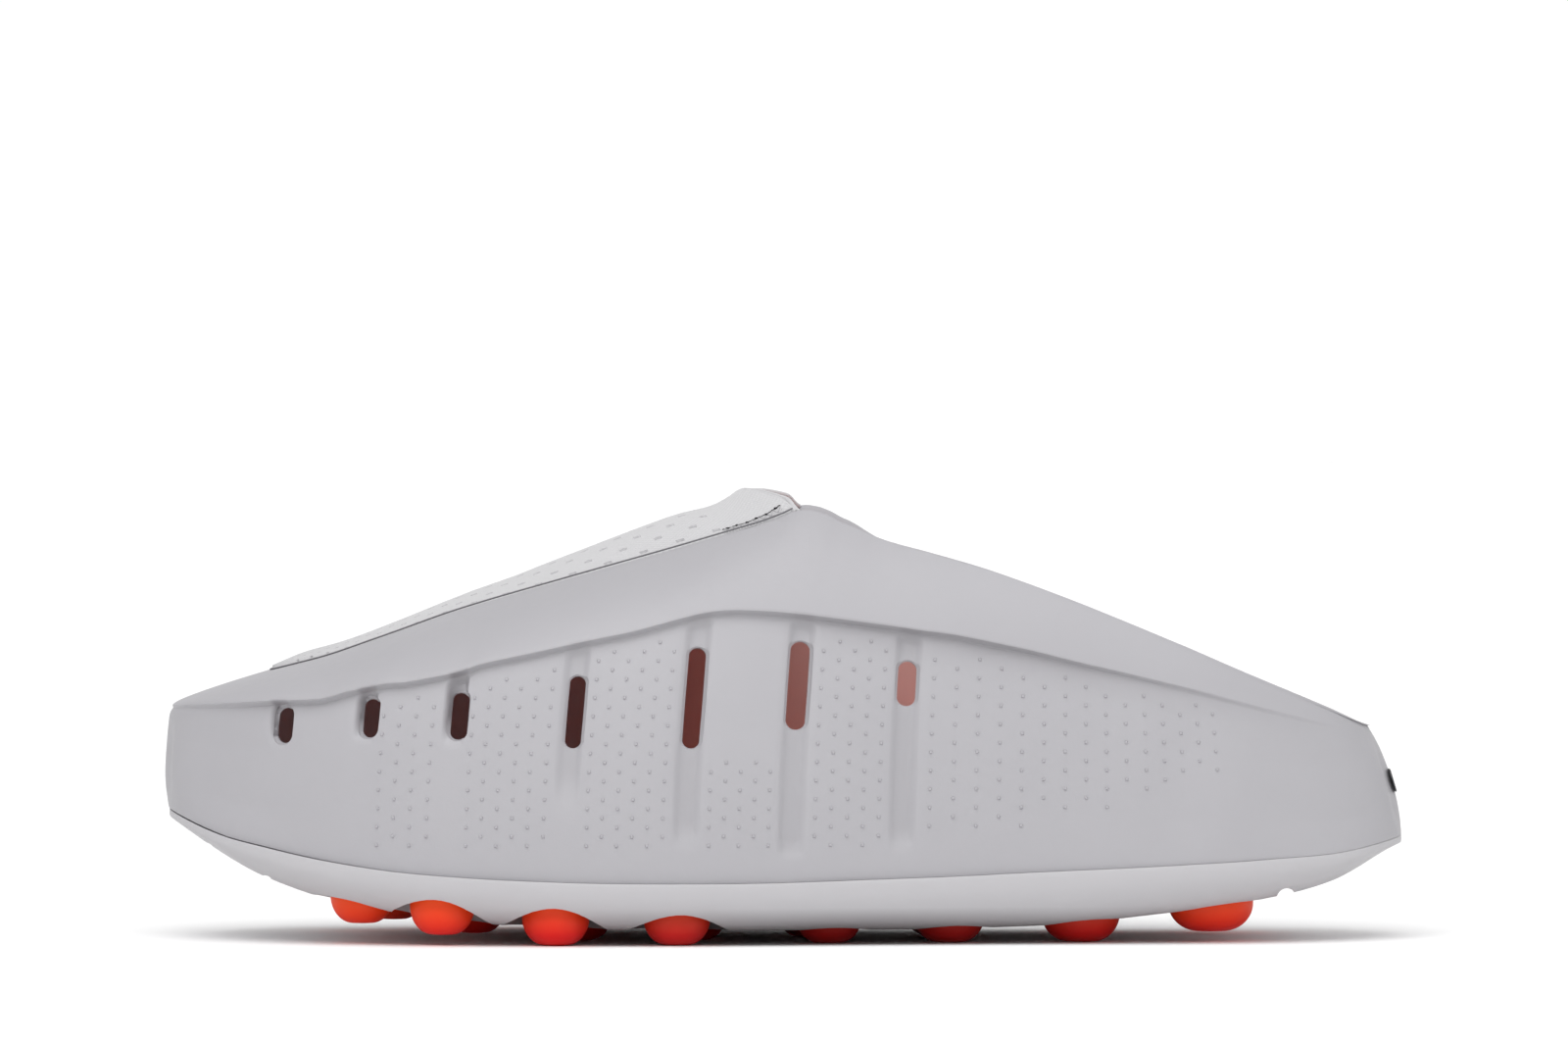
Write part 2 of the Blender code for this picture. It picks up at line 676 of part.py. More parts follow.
def make_binding():
    """The rolled binding along the vamp's rear edge."""
    upper_row, lower_row = vamp_row(1.0, 0.0), vamp_row(1.0, VAMP_THICKNESS)
    inner_row = vamp_row(0.94, 0.0)
    path, sides = [], 8
    for i in range(VAMP_COLUMNS + 1):
        middle = (upper_row[i] + lower_row[i]) / 2
        back = (upper_row[i] - inner_row[i]).normalized()
        path.append(middle + back * (BINDING_RADIUS * 1.25 + PIECE_GAP))
    inset = path[0].lerp(path[1], 0.30), path[-1].lerp(path[-2], 0.30)
    path = [inset[0]] + path[1:-1] + [inset[1]]
    points = []
    for i, centre in enumerate(path):
        ahead, behind = path[min(i + 1, len(path) - 1)], path[max(i - 1, 0)]
        run = (ahead - behind).normalized()
        up = (Vector((0, 0, 1)) - run * run.z).normalized()
        across = run.cross(up)
        for k in range(sides):
            turn = 2 * math.pi * k / sides
            points.append(centre + (across * math.cos(turn) + up * math.sin(turn) * 1.2) * BINDING_RADIUS)
    faces = ring_faces(len(path), sides)
    faces.append(tuple(range(sides))[::-1])
    faces.append(tuple(range((len(path) - 1) * sides, len(path) * sides)))
    mesh_object("throat_binding", points, faces, "textile_grey")


def make_badge():
    """A plain dark pill on the back of the heel."""
    middle = level_at(0.0, BADGE_RISE)
    step = 0.01
    span = 2 * step / (base_plan(step).y - base_plan(-step).y)
    height = shell_smooth(0.0, 1).z - shell_smooth(0.0, 0).z
    sides = 16
    points = []
    for depth, size in ((-PIECE_GAP, 1.0), (-PIECE_GAP - BADGE_THICKNESS * 0.6, 1.0),
                        (-PIECE_GAP - BADGE_THICKNESS, 0.80)):
        for i in range(sides):
            turn = 2 * math.pi * i / sides
            across = math.cos(turn) * BADGE_HEIGHT / 2 * size
            shift = math.copysign(min(1.0, abs(math.cos(turn)) * 3), math.cos(turn))
            across += shift * (BADGE_WIDTH - BADGE_HEIGHT) / 2
            angle = across * span
            level = middle + math.sin(turn) * BADGE_HEIGHT / 2 * size / height
            points.append(wall_point(angle, level, depth))
    faces = ring_faces(3, sides)
    faces.append(tuple(range(sides))[::-1])
    faces.append(tuple(range(2 * sides, 3 * sides)))
    mesh_object("heel_badge", points, faces, "badge_dark")


def main():
    for thing in list(bpy.data.objects):
        bpy.data.objects.remove(thing)
    make_upper()
    make_vamp()
    make_binding()
    make_outsole()
    make_insole()
    make_studs()
    make_badge()


main()
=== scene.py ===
# A foam sneaker mule for the left foot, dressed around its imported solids.
# Metres: the toe points along -X, the outer side faces -Y, and the studs stand on Z = 0.
import functools
import math

import bmesh
import bpy
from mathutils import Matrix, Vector


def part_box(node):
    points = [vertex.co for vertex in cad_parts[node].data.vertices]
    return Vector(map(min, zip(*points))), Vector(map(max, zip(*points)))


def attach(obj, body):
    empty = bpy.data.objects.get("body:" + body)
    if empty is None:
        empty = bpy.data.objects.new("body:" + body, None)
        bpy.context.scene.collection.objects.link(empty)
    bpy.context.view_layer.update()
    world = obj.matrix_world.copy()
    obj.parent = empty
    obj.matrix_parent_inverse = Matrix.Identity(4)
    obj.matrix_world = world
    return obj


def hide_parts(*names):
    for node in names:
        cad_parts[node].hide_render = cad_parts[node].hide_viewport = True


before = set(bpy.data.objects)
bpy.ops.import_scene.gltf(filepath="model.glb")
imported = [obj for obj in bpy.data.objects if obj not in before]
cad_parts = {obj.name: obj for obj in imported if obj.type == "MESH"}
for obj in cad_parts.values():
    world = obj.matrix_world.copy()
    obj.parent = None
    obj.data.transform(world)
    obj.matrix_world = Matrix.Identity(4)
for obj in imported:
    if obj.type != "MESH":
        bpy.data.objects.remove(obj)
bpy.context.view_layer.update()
print("frame loaded")

# The shoe's form. Shares are of the length, the ball width, the toe rise or the instep height.
shoe = {
    "length": 0.300,
    "ballWidth": 0.116,
    "instepHeight": 0.109,
    "toeRise": 0.0317,
    "pieceGap": 0.0003,
    "seam": 0.00006,
    "baseEnds": (0.24, 0.20, 2.3),  # how much of the length rounds off at the toe and the heel, and how squarely
    "rimEnds": (0.10, 0.16, 2.2),
    "opening": (0.083, 0.971),
    "throat": 0.512,
    "lean": 1.9,  # how late the wall leans in on its way up
    "bandInward": 0.30,  # how full the band above the ledge is, inwards and upwards
    "bandUpward": (0.40, 0.60, 0.15),  # at the toe's tip, along the sides, and the share of the length between
    "toeFull": (0.0011, 0.05),  # how far the toe's front bulges, and the share of the length that it fades over
    "heelTuck": (0.0006, 0.96),  # the heel's top stays inside the solid: how far, and from which share of the length
    "toeTuck": 0.0007,  # how far the base stays behind it there
    "innerRimFall": (0.050, 0.545, 0.04),  # the inner rim lies lower by this share of its half width: where, how soon
}
sectionColumns = ("along", "lateral", "medial", "parting", "under", "ledge", "lean")
sections = (
    (0.000, 0.420, 0.450, 1.000, 0.940, 0.518, 0.06),
    (0.040, 0.425, 0.455, 0.842, 0.700, 0.530, 0.07),
    (0.083, 0.435, 0.465, 0.716, 0.492, 0.538, 0.09),
    (0.144, 0.458, 0.483, 0.600, 0.314, 0.548, 0.12),
    (0.200, 0.476, 0.494, 0.530, 0.226, 0.582, 0.15),
    (0.290, 0.497, 0.500, 0.473, 0.142, 0.632, 0.22),
    (0.370, 0.500, 0.478, 0.448, 0.114, 0.682, 0.30),
    (0.460, 0.482, 0.432, 0.442, 0.107, 0.738, 0.38),
    (0.580, 0.436, 0.386, 0.467, 0.107, 0.706, 0.42),
    (0.700, 0.404, 0.372, 0.528, 0.130, 0.640, 0.48),
    (0.810, 0.393, 0.380, 0.588, 0.229, 0.576, 0.60),
    (0.890, 0.388, 0.386, 0.655, 0.336, 0.518, 0.72),
    (0.940, 0.385, 0.388, 0.690, 0.448, 0.484, 0.78),
    (1.000, 0.385, 0.388, 0.801, 0.740, 0.459, 0.80),
)
rimColumns = ("along", "lateral", "medial", "height", "crown")
rims = (
    (0.083, 0.120, 0.150, 0.602, 0.000),
    (0.126, 0.130, 0.160, 0.628, 0.016),
    (0.174, 0.148, 0.178, 0.672, 0.020),
    (0.236, 0.168, 0.198, 0.733, 0.026),
    (0.326, 0.195, 0.215, 0.806, 0.047),
    (0.413, 0.216, 0.225, 0.874, 0.058),
    (0.475, 0.229, 0.232, 0.924, 0.050),
    (0.512, 0.237, 0.237, 0.952, 0.039),
    (0.552, 0.256, 0.249, 0.930, 0.000),
    (0.579, 0.268, 0.257, 0.900, 0.000),
    (0.671, 0.305, 0.278, 0.817, 0.000),
    (0.737, 0.318, 0.289, 0.750, 0.000),
    (0.819, 0.322, 0.296, 0.656, 0.000),
    (0.869, 0.318, 0.298, 0.597, 0.000),
    (0.935, 0.310, 0.298, 0.524, 0.000),
    (0.971, 0.310, 0.298, 0.484, 0.000),
)

# How far the real lines rise above the solids' plain ones: shares of the length, metres
waveColumns = ("along", "rise")
ledgeWave = (
    (0.000, 0.0003), (0.060, 0.0002), (0.125, 0.0000), (0.136, 0.0005), (0.152, 0.0014), (0.175, 0.0014),
    (0.200, 0.0003), (0.235, 0.0002), (0.262, 0.0012), (0.330, 0.0011), (0.380, 0.0007), (0.420, 0.0004),
    (0.600, 0.0001), (0.640, 0.0008), (0.690, 0.0010), (0.740, 0.0004), (0.800, 0.0000),
)
rimWave = (
    (0.083, -0.0008), (0.120, -0.0002), (0.160, 0.0000), (0.495, 0.0000), (0.512, 0.0011), (0.524, 0.0014),
    (0.536, 0.0011), (0.550, 0.0001), (0.575, -0.0001), (0.619, 0.0006), (0.671, 0.0010), (0.819, 0.0010),
    (0.868, 0.0008), (0.935, 0.0001), (0.955, -0.0004), (0.971, -0.0010),
)
partingWave = (
    (0.050, 0.0000), (0.085, 0.0007), (0.250, 0.0009), (0.400, 0.0011), (0.580, 0.0013), (0.650, 0.0010),
    (0.820, 0.0004), (0.880, -0.0002), (0.970, -0.0004),
)


def readColumn(rows, columns, name, along):
    # a smooth curve through the rows that never overshoots them
    marks = [row[0] for row in rows]
    values = [row[columns.index(name)] for row in rows]
    if along <= marks[0]:
        return values[0]
    if along >= marks[-1]:
        return values[-1]
    last = len(rows) - 1
    at = next(i for i in range(last) if marks[i + 1] >= along)

    def secant(i):
        return (values[i + 1] - values[i]) / (marks[i + 1] - marks[i])

    def slope(i):
        if i in (0, last):
            return secant(min(i, last - 1))
        before, after = secant(i - 1), secant(i)
        return 2 * before * after / (before + after) if before * after > 0 else 0.0

    width = marks[at + 1] - marks[at]
    t = (along - marks[at]) / width
    rise = values[at + 1] - values[at]
    start, end = slope(at) * width, slope(at + 1) * width
    return values[at] + t * (start + t * ((3 * rise - 2 * start - end) + t * (start + end - 2 * rise)))


def sectionAt(name, share):
    return readColumn(sections, sectionColumns, name, share)


def rimAt(name, share):
    return readColumn(rims, rimColumns, name, share)


def waveAt(wave, share):
    return readColumn(wave, waveColumns, "rise", share)


def ease(t):
    t = min(1.0, max(0.0, t))
    return t * t * (3 - 2 * t)


def station(along):
    return (along - 0.5) * shoe["length"]


def shareAlong(x):
    return x / shoe["length"] + 0.5


# Angles run around the shoe: 0 is the heel and pi the toe, with the inner side between them.
def baseShare(angle):
    return (1 + math.cos(angle)) / 2


def rimShare(angle):
    toe, heel = shoe["opening"]
    return toe + (heel - toe) * (1 + math.cos(angle)) / 2


def sideOf(angle):
    return "medial" if math.sin(angle) > 0 else "lateral"


def planPoint(angle, share, width):
    return Vector((station(share), math.copysign(width, math.sin(angle)), 0))


def endRounding(share, ends):
    toe, heel, square = ends
    reach = min(share / toe, (1 - share) / heel, 1.0)
    return max(0.0, 1 - (1 - reach) ** square) ** (1 / square)


def basePlan(angle):
    share = baseShare(angle)
    rounding = endRounding(share, shoe["baseEnds"])
    return planPoint(angle, share, shoe["ballWidth"] * sectionAt(sideOf(angle), share) * rounding)


def rimPlan(angle):
    share = rimShare(angle)
    toe, heel = shoe["opening"]
    rounding = endRounding((share - toe) / (heel - toe), shoe["rimEnds"])
    return planPoint(angle, share, shoe["ballWidth"] * rimAt(sideOf(angle), share) * rounding)


def partingHeight(x):
    share = shareAlong(x)
    return shoe["toeRise"] * sectionAt("parting", share) + waveAt(partingWave, share)


def underHeight(x):
    return shoe["toeRise"] * sectionAt("under", shareAlong(x))


@functools.lru_cache(maxsize=None)
def wallColumn(angle):
    # the base's and the rim's plan, the wall's lean, and the heights of the parting line, the ledge and the rim
    base, rim = basePlan(angle), rimPlan(angle)
    lean = sectionAt("lean", baseShare(angle))
    low = partingHeight(base.x) + shoe["pieceGap"]
    atLedge = shareAlong(base.x + (rim.x - base.x) * lean)
    ledge = shoe["instepHeight"] * sectionAt("ledge", atLedge) + waveAt(ledgeWave, atLedge)
    top = shoe["instepHeight"] * rimAt("height", rimShare(angle)) + waveAt(rimWave, rimShare(angle))
    if angle > 0:
        fall, start, reach = shoe["innerRimFall"]
        top -= fall * rim.y * ease((rimShare(angle) - start) / reach)
    return base, rim, lean, low, ledge, top


def wallSpan(angle):
    return wallColumn(angle)[3:5]


def shellForm(angle, level):
    # level 0 is the parting line, 1 the ledge and 2 the rim
    base, rim, lean, low, ledge, top = wallColumn(angle)
    if level <= 1:
        point = base.lerp(rim, lean * max(0.0, level) ** shoe["lean"])
        point.z = low + (ledge - low) * level
        return point
    t = level - 1
    atToe, along, reach = shoe["bandUpward"]
    upward = atToe + (along - atToe) * min(1.0, baseShare(angle) / reach)
    point = base.lerp(rim, lean + (1 - lean) * (2 * t * (1 - t) * shoe["bandInward"] + t * t))
    point.z = ledge + (top - ledge) * (2 * t * (1 - t) * upward + t * t)
    return point


def shellOut(angle, level):
    step = 0.004
    low, high = max(0.0, level - step), min(2.0, level + step)
    if abs(level - 1) < step:
        low, high = 1 - 8 * step, 1 + 8 * step
    up = shellForm(angle, high) - shellForm(angle, low)
    along = shellForm(angle + step, level) - shellForm(angle - step, level)
    return along.cross(up).normalized()


def rimRise(angle):
    # which way the band points where it ends at the rim
    return (shellForm(angle, 2.0) - shellForm(angle, 1.93)).normalized()


def wallPoint(angle, level, depth=0.0):
    return shellForm(angle, level) - shellOut(angle, level) * depth


def toeNearness(angle):
    return ease(1 - baseShare(angle) / shoe["toeFull"][1])


def endFullness(angle, level):
    # the toe's front stands full between the parting line and the ledge, and the heel's top is tucked in
    rise = 1 - (1 - min(1.0, max(0.0, level) / 0.4)) ** 2
    toe = shoe["toeFull"][0] * toeNearness(angle) * rise * ease((1.12 - level) / 0.25)
    tuck, start = shoe["heelTuck"]
    heel = ease((baseShare(angle) - start) / (1 - start)) * math.sin(math.pi / 2 * min(2.0, max(0.0, level)))
    return toe - tuck * heel


# Modelling helpers: every operator starts from nothing selected.
def deselectAll():
    if bpy.context.object and bpy.context.object.mode != "OBJECT":
        bpy.ops.object.mode_set(mode="OBJECT")
    bpy.ops.object.select_all(action="DESELECT")


def added(operator, name=None, **settings):
    deselectAll()
    operator(**settings)
    if name:
        bpy.context.object.name = name
    return bpy.context.object


def takeUp(piece):
    deselectAll()
    piece.select_set(True)
    bpy.context.view_layer.objects.active = piece


def joinAll(pieces):
    deselectAll()
    for piece in pieces:
        piece.select_set(True)
    bpy.context.view_layer.objects.active = pieces[0]
    bpy.ops.object.join()
    return pieces[0]


def editFaces(piece, wanted=None):
    # goes into edit mode with all faces selected, or the wanted ones by index
    takeUp(piece)
    bpy.ops.object.mode_set(mode="EDIT")
    bpy.ops.mesh.select_mode(type="FACE")
    bpy.ops.mesh.select_all(action="DESELECT" if wanted is not None else "SELECT")
    if wanted is not None:
        shape = bmesh.from_edit_mesh(piece.data)
        shape.faces.ensure_lookup_table()
        for index in wanted:
            shape.faces[index].select_set(True)
        bmesh.update_edit_mesh(piece.data)


def leaveEdit():
    bpy.ops.object.mode_set(mode="OBJECT")


def sinkFaces(piece, wanted, rim, taper, depth):
    # each wanted face is inset, then sunk with a taper
    editFaces(piece, wanted)
    bpy.ops.mesh.inset(thickness=rim, depth=0, use_individual=True)
    bpy.ops.mesh.inset(thickness=taper, depth=-depth, use_individual=True)


def selectOpenEdges():
    bpy.ops.mesh.select_all(action="DESELECT")
    bpy.ops.mesh.select_mode(type="EDGE")
    bpy.ops.mesh.select_non_manifold()


def closeEnds(piece):
    # fills the first and the last ring of a pipe
    editFaces(piece)
    selectOpenEdges()
    bpy.ops.mesh.edge_face_add()
    bpy.ops.mesh.select_all(action="SELECT")
    bpy.ops.mesh.normals_make_consistent(inside=False)
    leaveEdit()


def applyModifiers(piece):
    takeUp(piece)
    for modifier in list(piece.modifiers):
        bpy.ops.object.modifier_apply(modifier=modifier.name)


def finishMesh(piece, sharpAngle=40, mergeDistance=1e-6):
    # merges doubles, turns the faces outwards and smooths all but the sharp edges
    editFaces(piece)
    bpy.ops.mesh.remove_doubles(threshold=mergeDistance)
    bpy.ops.mesh.select_all(action="SELECT")
    bpy.ops.mesh.normals_make_consistent(inside=False)
    leaveEdit()
    bpy.ops.object.shade_smooth_by_angle(angle=math.radians(sharpAngle))


def subtract(piece, cutter, selfCrossing=False):
    boolean = piece.modifiers.new("cut", "BOOLEAN")
    boolean.operation = "DIFFERENCE"
    boolean.solver = "EXACT"
    boolean.use_self = selfCrossing
    boolean.object = cutter
    applyModifiers(piece)
    bpy.data.objects.remove(cutter)


def pipe(name, columns, rows):
    # an upright pipe of rings one apart, ready to be laid on a form
    piece = added(bpy.ops.mesh.primitive_circle_add, name, vertices=columns, radius=1)
    bpy.ops.object.mode_set(mode="EDIT")
    bpy.ops.mesh.select_mode(type="VERT")
    bpy.ops.mesh.select_all(action="SELECT")
    for _ in range(rows - 1):
        bpy.ops.mesh.extrude_region_move(TRANSFORM_OT_translate={"value": (0, 0, 1)})
    leaveEdit()
    return piece


def pipePlace(co, columns):
    # which column and row of a pipe a place belongs to
    turn = math.atan2(-co.x, co.y) % (2 * math.pi)
    return turn / (2 * math.pi) * columns, co.z


def layRings(piece, rings):
    # lays a pipe on its rings of points, and says which column and row each vertex belongs to
    places = []
    for vertex in piece.data.vertices:
        column, row = pipePlace(vertex.co, len(rings))
        places.append((round(column) % len(rings), round(row)))
        vertex.co = rings[places[-1][0]][places[-1][1]]
    return places


def sheetGrid(name, cellsLong, cellsAcross):
    # a flat grid from 0 to 1 both ways, ready to be laid on a form
    piece = added(
        bpy.ops.mesh.primitive_grid_add, name,
        x_subdivisions=cellsLong, y_subdivisions=cellsAcross, size=1, location=(0.5, 0.5, 0))
    bpy.ops.object.transform_apply()
    return piece


def thicken(piece, thickness):
    # gives a sheet its thickness, below the face that looks up
    if sum(face.normal.z * face.area for face in piece.data.polygons) < 0:
        editFaces(piece)
        bpy.ops.mesh.flip_normals()
        leaveEdit()
    solid = piece.modifiers.new("thickness", "SOLIDIFY")
    solid.thickness = thickness
    solid.offset = -1
    applyModifiers(piece)
    bpy.ops.object.shade_smooth_by_angle(angle=math.radians(50))


def paintTone(piece, tones):
    # one colour for each face corner, read by the foam's material: it carries the foam's painted shade and painted
    # bounce light
    layer = piece.data.color_attributes.new(name="tone", type="FLOAT_COLOR", domain="CORNER")
    for loop in piece.data.loops:
        layer.data[loop.index].color = tones[loop.vertex_index]


def dress(piece, slotName, materialMade, *nodes):
    piece.data.materials.clear()
    piece.data.materials.append(materialMade)
    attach(piece, "root")
    if nodes:
        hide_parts(*nodes)


# Materials
def feed(tree, node, values):
    # each value is an output to link from, or a constant
    for key, value in values.items():
        if isinstance(value, bpy.types.NodeSocket):
            tree.links.new(value, node.inputs[key])
        else:
            node.inputs[key].default_value = value


def addNode(tree, kind, values=None, **settings):
    node = tree.nodes.new(kind)
    for key, value in settings.items():
        setattr(node, key, value)
    feed(tree, node, values or {})
    return node


def newMaterial(name, colour, roughness):
    made = bpy.data.materials.new(name)
    made.use_nodes = True
    shader = made.node_tree.nodes["Principled BSDF"]
    feed(made.node_tree, shader, {"Base Color": (*colour, 1), "Roughness": roughness})
    return made, made.node_tree, shader


def placesIn(tree, kind="Object"):
    return addNode(tree, "ShaderNodeTexCoord").outputs[kind]


def splitVector(tree, vector):
    return addNode(tree, "ShaderNodeSeparateXYZ", {"Vector": vector}).outputs


def noiseAt(tree, place, scale, detail=3.0):
    return addNode(tree, "ShaderNodeTexNoise", {"Vector": place, "Scale": scale, "Detail": detail}).outputs["Fac"]


def compute(tree, operation, *values):
    return addNode(tree, "ShaderNodeMath", dict(enumerate(values)), operation=operation).outputs[0]


def carry(tree, value, start, end, low, high):
    # carries a value from one range onto another
    ranges = {"Value": value, "From Min": start, "From Max": end, "To Min": low, "To Max": high}
    return addNode(tree, "ShaderNodeMapRange", ranges).outputs["Result"]


def spread(tree, value, low, high):
    return carry(tree, value, 0.0, 1.0, low, high)


def mixColours(tree, value, first, second):
    first, second = (
        colour if isinstance(colour, bpy.types.NodeSocket) else (*colour, 1) for colour in (first, second))
    mixed = addNode(tree, "ShaderNodeMix", {"Factor": value, "A": first, "B": second}, data_type="RGBA")
    return mixed.outputs["Result"]


def bumpFrom(tree, height, distance, strength, normal=None):
    bump = addNode(tree, "ShaderNodeBump", {"Height": height, "Distance": distance, "Strength": strength})
    if normal:
        feed(tree, bump, {"Normal": normal})
    return bump.outputs["Normal"]


foamLooks = {
    "shell": {
        "pale": (0.384, 0.377, 0.397),
        "deep": (0.362, 0.355, 0.376),
        "paintedShade": (0.080, 0.070, 0.078),  # painted shade where the foam lies in recesses: under the ledge, in the flutes and by the slots
        "inside": (0.640, 0.420, 0.390),  # painted warm bounce light from the footbed on the foam's inner face
        "roughness": (0.46, 0.58),
    },
    "base": {
        "pale": (0.456, 0.448, 0.464),
        "deep": (0.433, 0.425, 0.442),
        "contactShadow": (0.130, 0.112, 0.116),  # painted contact shadow low on the base, between the studs
        "shadowBetween": (0.0032, 0.0092),  # the heights that it fades over
        "shadowAmounts": (0.9, 0.55, 0.55),  # how much at the lowest, of that everywhere, and more in the middle
        "roughness": (0.42, 0.54),
    },
    "noises": ((38.0, 4), (2600.0, 2), (420.0, 3)),  # mottle, grain and skin: scale and detail
    "bumps": ((0.00012, 0.35), (0.00004, 0.4)),  # skin and grain: distance and strength
    "glow": {"Subsurface Weight": 0.06, "Subsurface Radius": (0.6, 0.55, 0.5), "Subsurface Scale": 0.003},
}
underside = {"middle": 0.022, "reach": (0.010, 0.078)}  # where the painted shadow under the shoe is deepest, and how far that reaches


def middleOf(tree, along, weight):
    # how near a place is to the middle of the underside, from 0 to weight, for the painted shadow there
    away = compute(tree, "ABSOLUTE", compute(tree, "SUBTRACT", along, underside["middle"]))
    return carry(tree, away, *underside["reach"], weight, 0.0)


def foamMaterial(name, look):
    made, tree, shader = newMaterial(name, look["pale"], look["roughness"][0])
    place = placesIn(tree)
    mottle, grain, skin = (noiseAt(tree, place, *noise) for noise in foamLooks["noises"])
    foam = mixColours(tree, mottle, look["deep"], look["pale"])
    # painted contact shadow: darker low on the base, most near the middle of the underside
    if "contactShadow" in look:
        axes = splitVector(tree, place)
        lowest, everywhere, more = look["shadowAmounts"]
        height = carry(tree, axes["Z"], *look["shadowBetween"], lowest, 0.0)
        amount = compute(tree, "ADD", middleOf(tree, axes["X"], more), everywhere)
        foam = mixColours(tree, compute(tree, "MULTIPLY", height, amount), foam, look["contactShadow"])
    if "paintedShade" in look:
        # the tone's red paints shade into the recesses
        tone = addNode(tree, "ShaderNodeAttribute", attribute_name="tone").outputs["Color"]
        channels = addNode(tree, "ShaderNodeSeparateColor", {"Color": tone}).outputs
        foam = mixColours(tree, channels["Red"], foam, look["paintedShade"])
        # the green paints the footbed's warm bounce light onto the inner face
        foam = mixColours(tree, channels["Green"], foam, look["inside"])
    skinBump, grainBump = foamLooks["bumps"]
    feed(tree, shader, {
        "Base Color": foam,
        "Roughness": spread(tree, skin, *look["roughness"]),
        "Normal": bumpFrom(tree, grain, *grainBump, bumpFrom(tree, skin, *skinBump)),
        **foamLooks["glow"],
    })
    return made


studLook = {
    "bright": (1.000, 0.085, 0.003),
    "deep": (0.660, 0.003, 0.002),
    "between": (0.0025, 0.0125),  # the heights that the two colours lie at: each stud is painted darker towards its foot, as painted shade
    "shadedMiddle": (0.120, 0.001, 0.001),  # painted shadow on the studs in the middle of the underside, by this share at most
    "middleShade": 0.68,
    "cloudy": (0.8, 1.1),
    "roughness": (0.42, 0.56),
    "specular": 0.30,
    "noises": (1500.0, 120.0),  # grain and cloud
    "bump": (0.00004, 0.4),
}


def studMaterial():
    made, tree, shader = newMaterial("studRubber", studLook["bright"], studLook["roughness"][0])
    place = placesIn(tree)
    grain, cloud = (noiseAt(tree, place, scale) for scale in studLook["noises"])
    axes = splitVector(tree, place)
    # painted shade: each stud is darker towards its foot and bright at its top, with a random cloud
    height = carry(tree, axes["Z"], *studLook["between"], 0.0, 1.0)
    tone = compute(tree, "MULTIPLY", height, spread(tree, cloud, *studLook["cloudy"]))
    rubber = mixColours(tree, tone, studLook["deep"], studLook["bright"])
    # the studs near the middle of the underside are painted darker, as painted shadow
    feed(tree, shader, {
        "Base Color": mixColours(tree, middleOf(tree, axes["X"], studLook["middleShade"]), rubber, studLook["shadedMiddle"]),
        "Roughness": spread(tree, cloud, *studLook["roughness"]),
        "Normal": bumpFrom(tree, grain, *studLook["bump"]),
        "Specular IOR Level": studLook["specular"],
    })
    return made


def knitMaterial(name, look, depth, sheen):
    # a stitch is the width and the length of one loop of the knit, on a UV map uvSize metres across and long
    made, tree, shader = newMaterial(name, look["light"], 0.85)
    repeats = [size / stitch for size, stitch in zip(look["uvSize"], look["stitch"])] + [1]
    scaled = addNode(tree, "ShaderNodeMapping", {"Vector": placesIn(tree, "UV"), "Scale": repeats})
    axes = splitVector(tree, scaled.outputs["Vector"])
    waves = [compute(tree, "SINE", compute(tree, "MULTIPLY", axes[axis], 2 * math.pi)) for axis in ("X", "Y")]
    raised = carry(tree, compute(tree, "MULTIPLY", *waves), -1.0, 1.0, 0.0, 1.0)
    place = placesIn(tree)
    fuzz, cloud = noiseAt(tree, place, 3200.0, 2), noiseAt(tree, place, 60.0)
    height = compute(tree, "ADD", raised, spread(tree, fuzz, 0.0, 0.5))
    # the loops' low parts are painted darker, as painted shade in the stitches, and a cloud varies the tone at random
    tone = compute(tree, "MULTIPLY", spread(tree, raised, 0.55, 1.0), spread(tree, cloud, 0.8, 1.0))
    feed(tree, shader, {
        "Base Color": mixColours(tree, tone, look["dark"], look["light"]),
        "Roughness": spread(tree, fuzz, 0.78, 0.95),
        "Normal": bumpFrom(tree, height, depth, 0.7),
        "Sheen Weight": sheen,
        "Sheen Roughness": 0.5,
    })
    return made


def grainyMaterial(name, look, plainRoughness):
    made, tree, shader = newMaterial(name, look["colour"], plainRoughness)
    place = placesIn(tree)
    cloud, grain = (noiseAt(tree, place, scale) for scale in look["noises"])
    roughness, normal = spread(tree, cloud, *look["roughness"]), bumpFrom(tree, grain, *look["bump"])
    feed(tree, shader, {"Roughness": roughness, "Normal": normal})
    return made


shellFoam = foamMaterial("shellFoam", foamLooks["shell"])
baseFoam = foamMaterial("baseFoam", foamLooks["base"])
studRubber = studMaterial()
print("materials made")

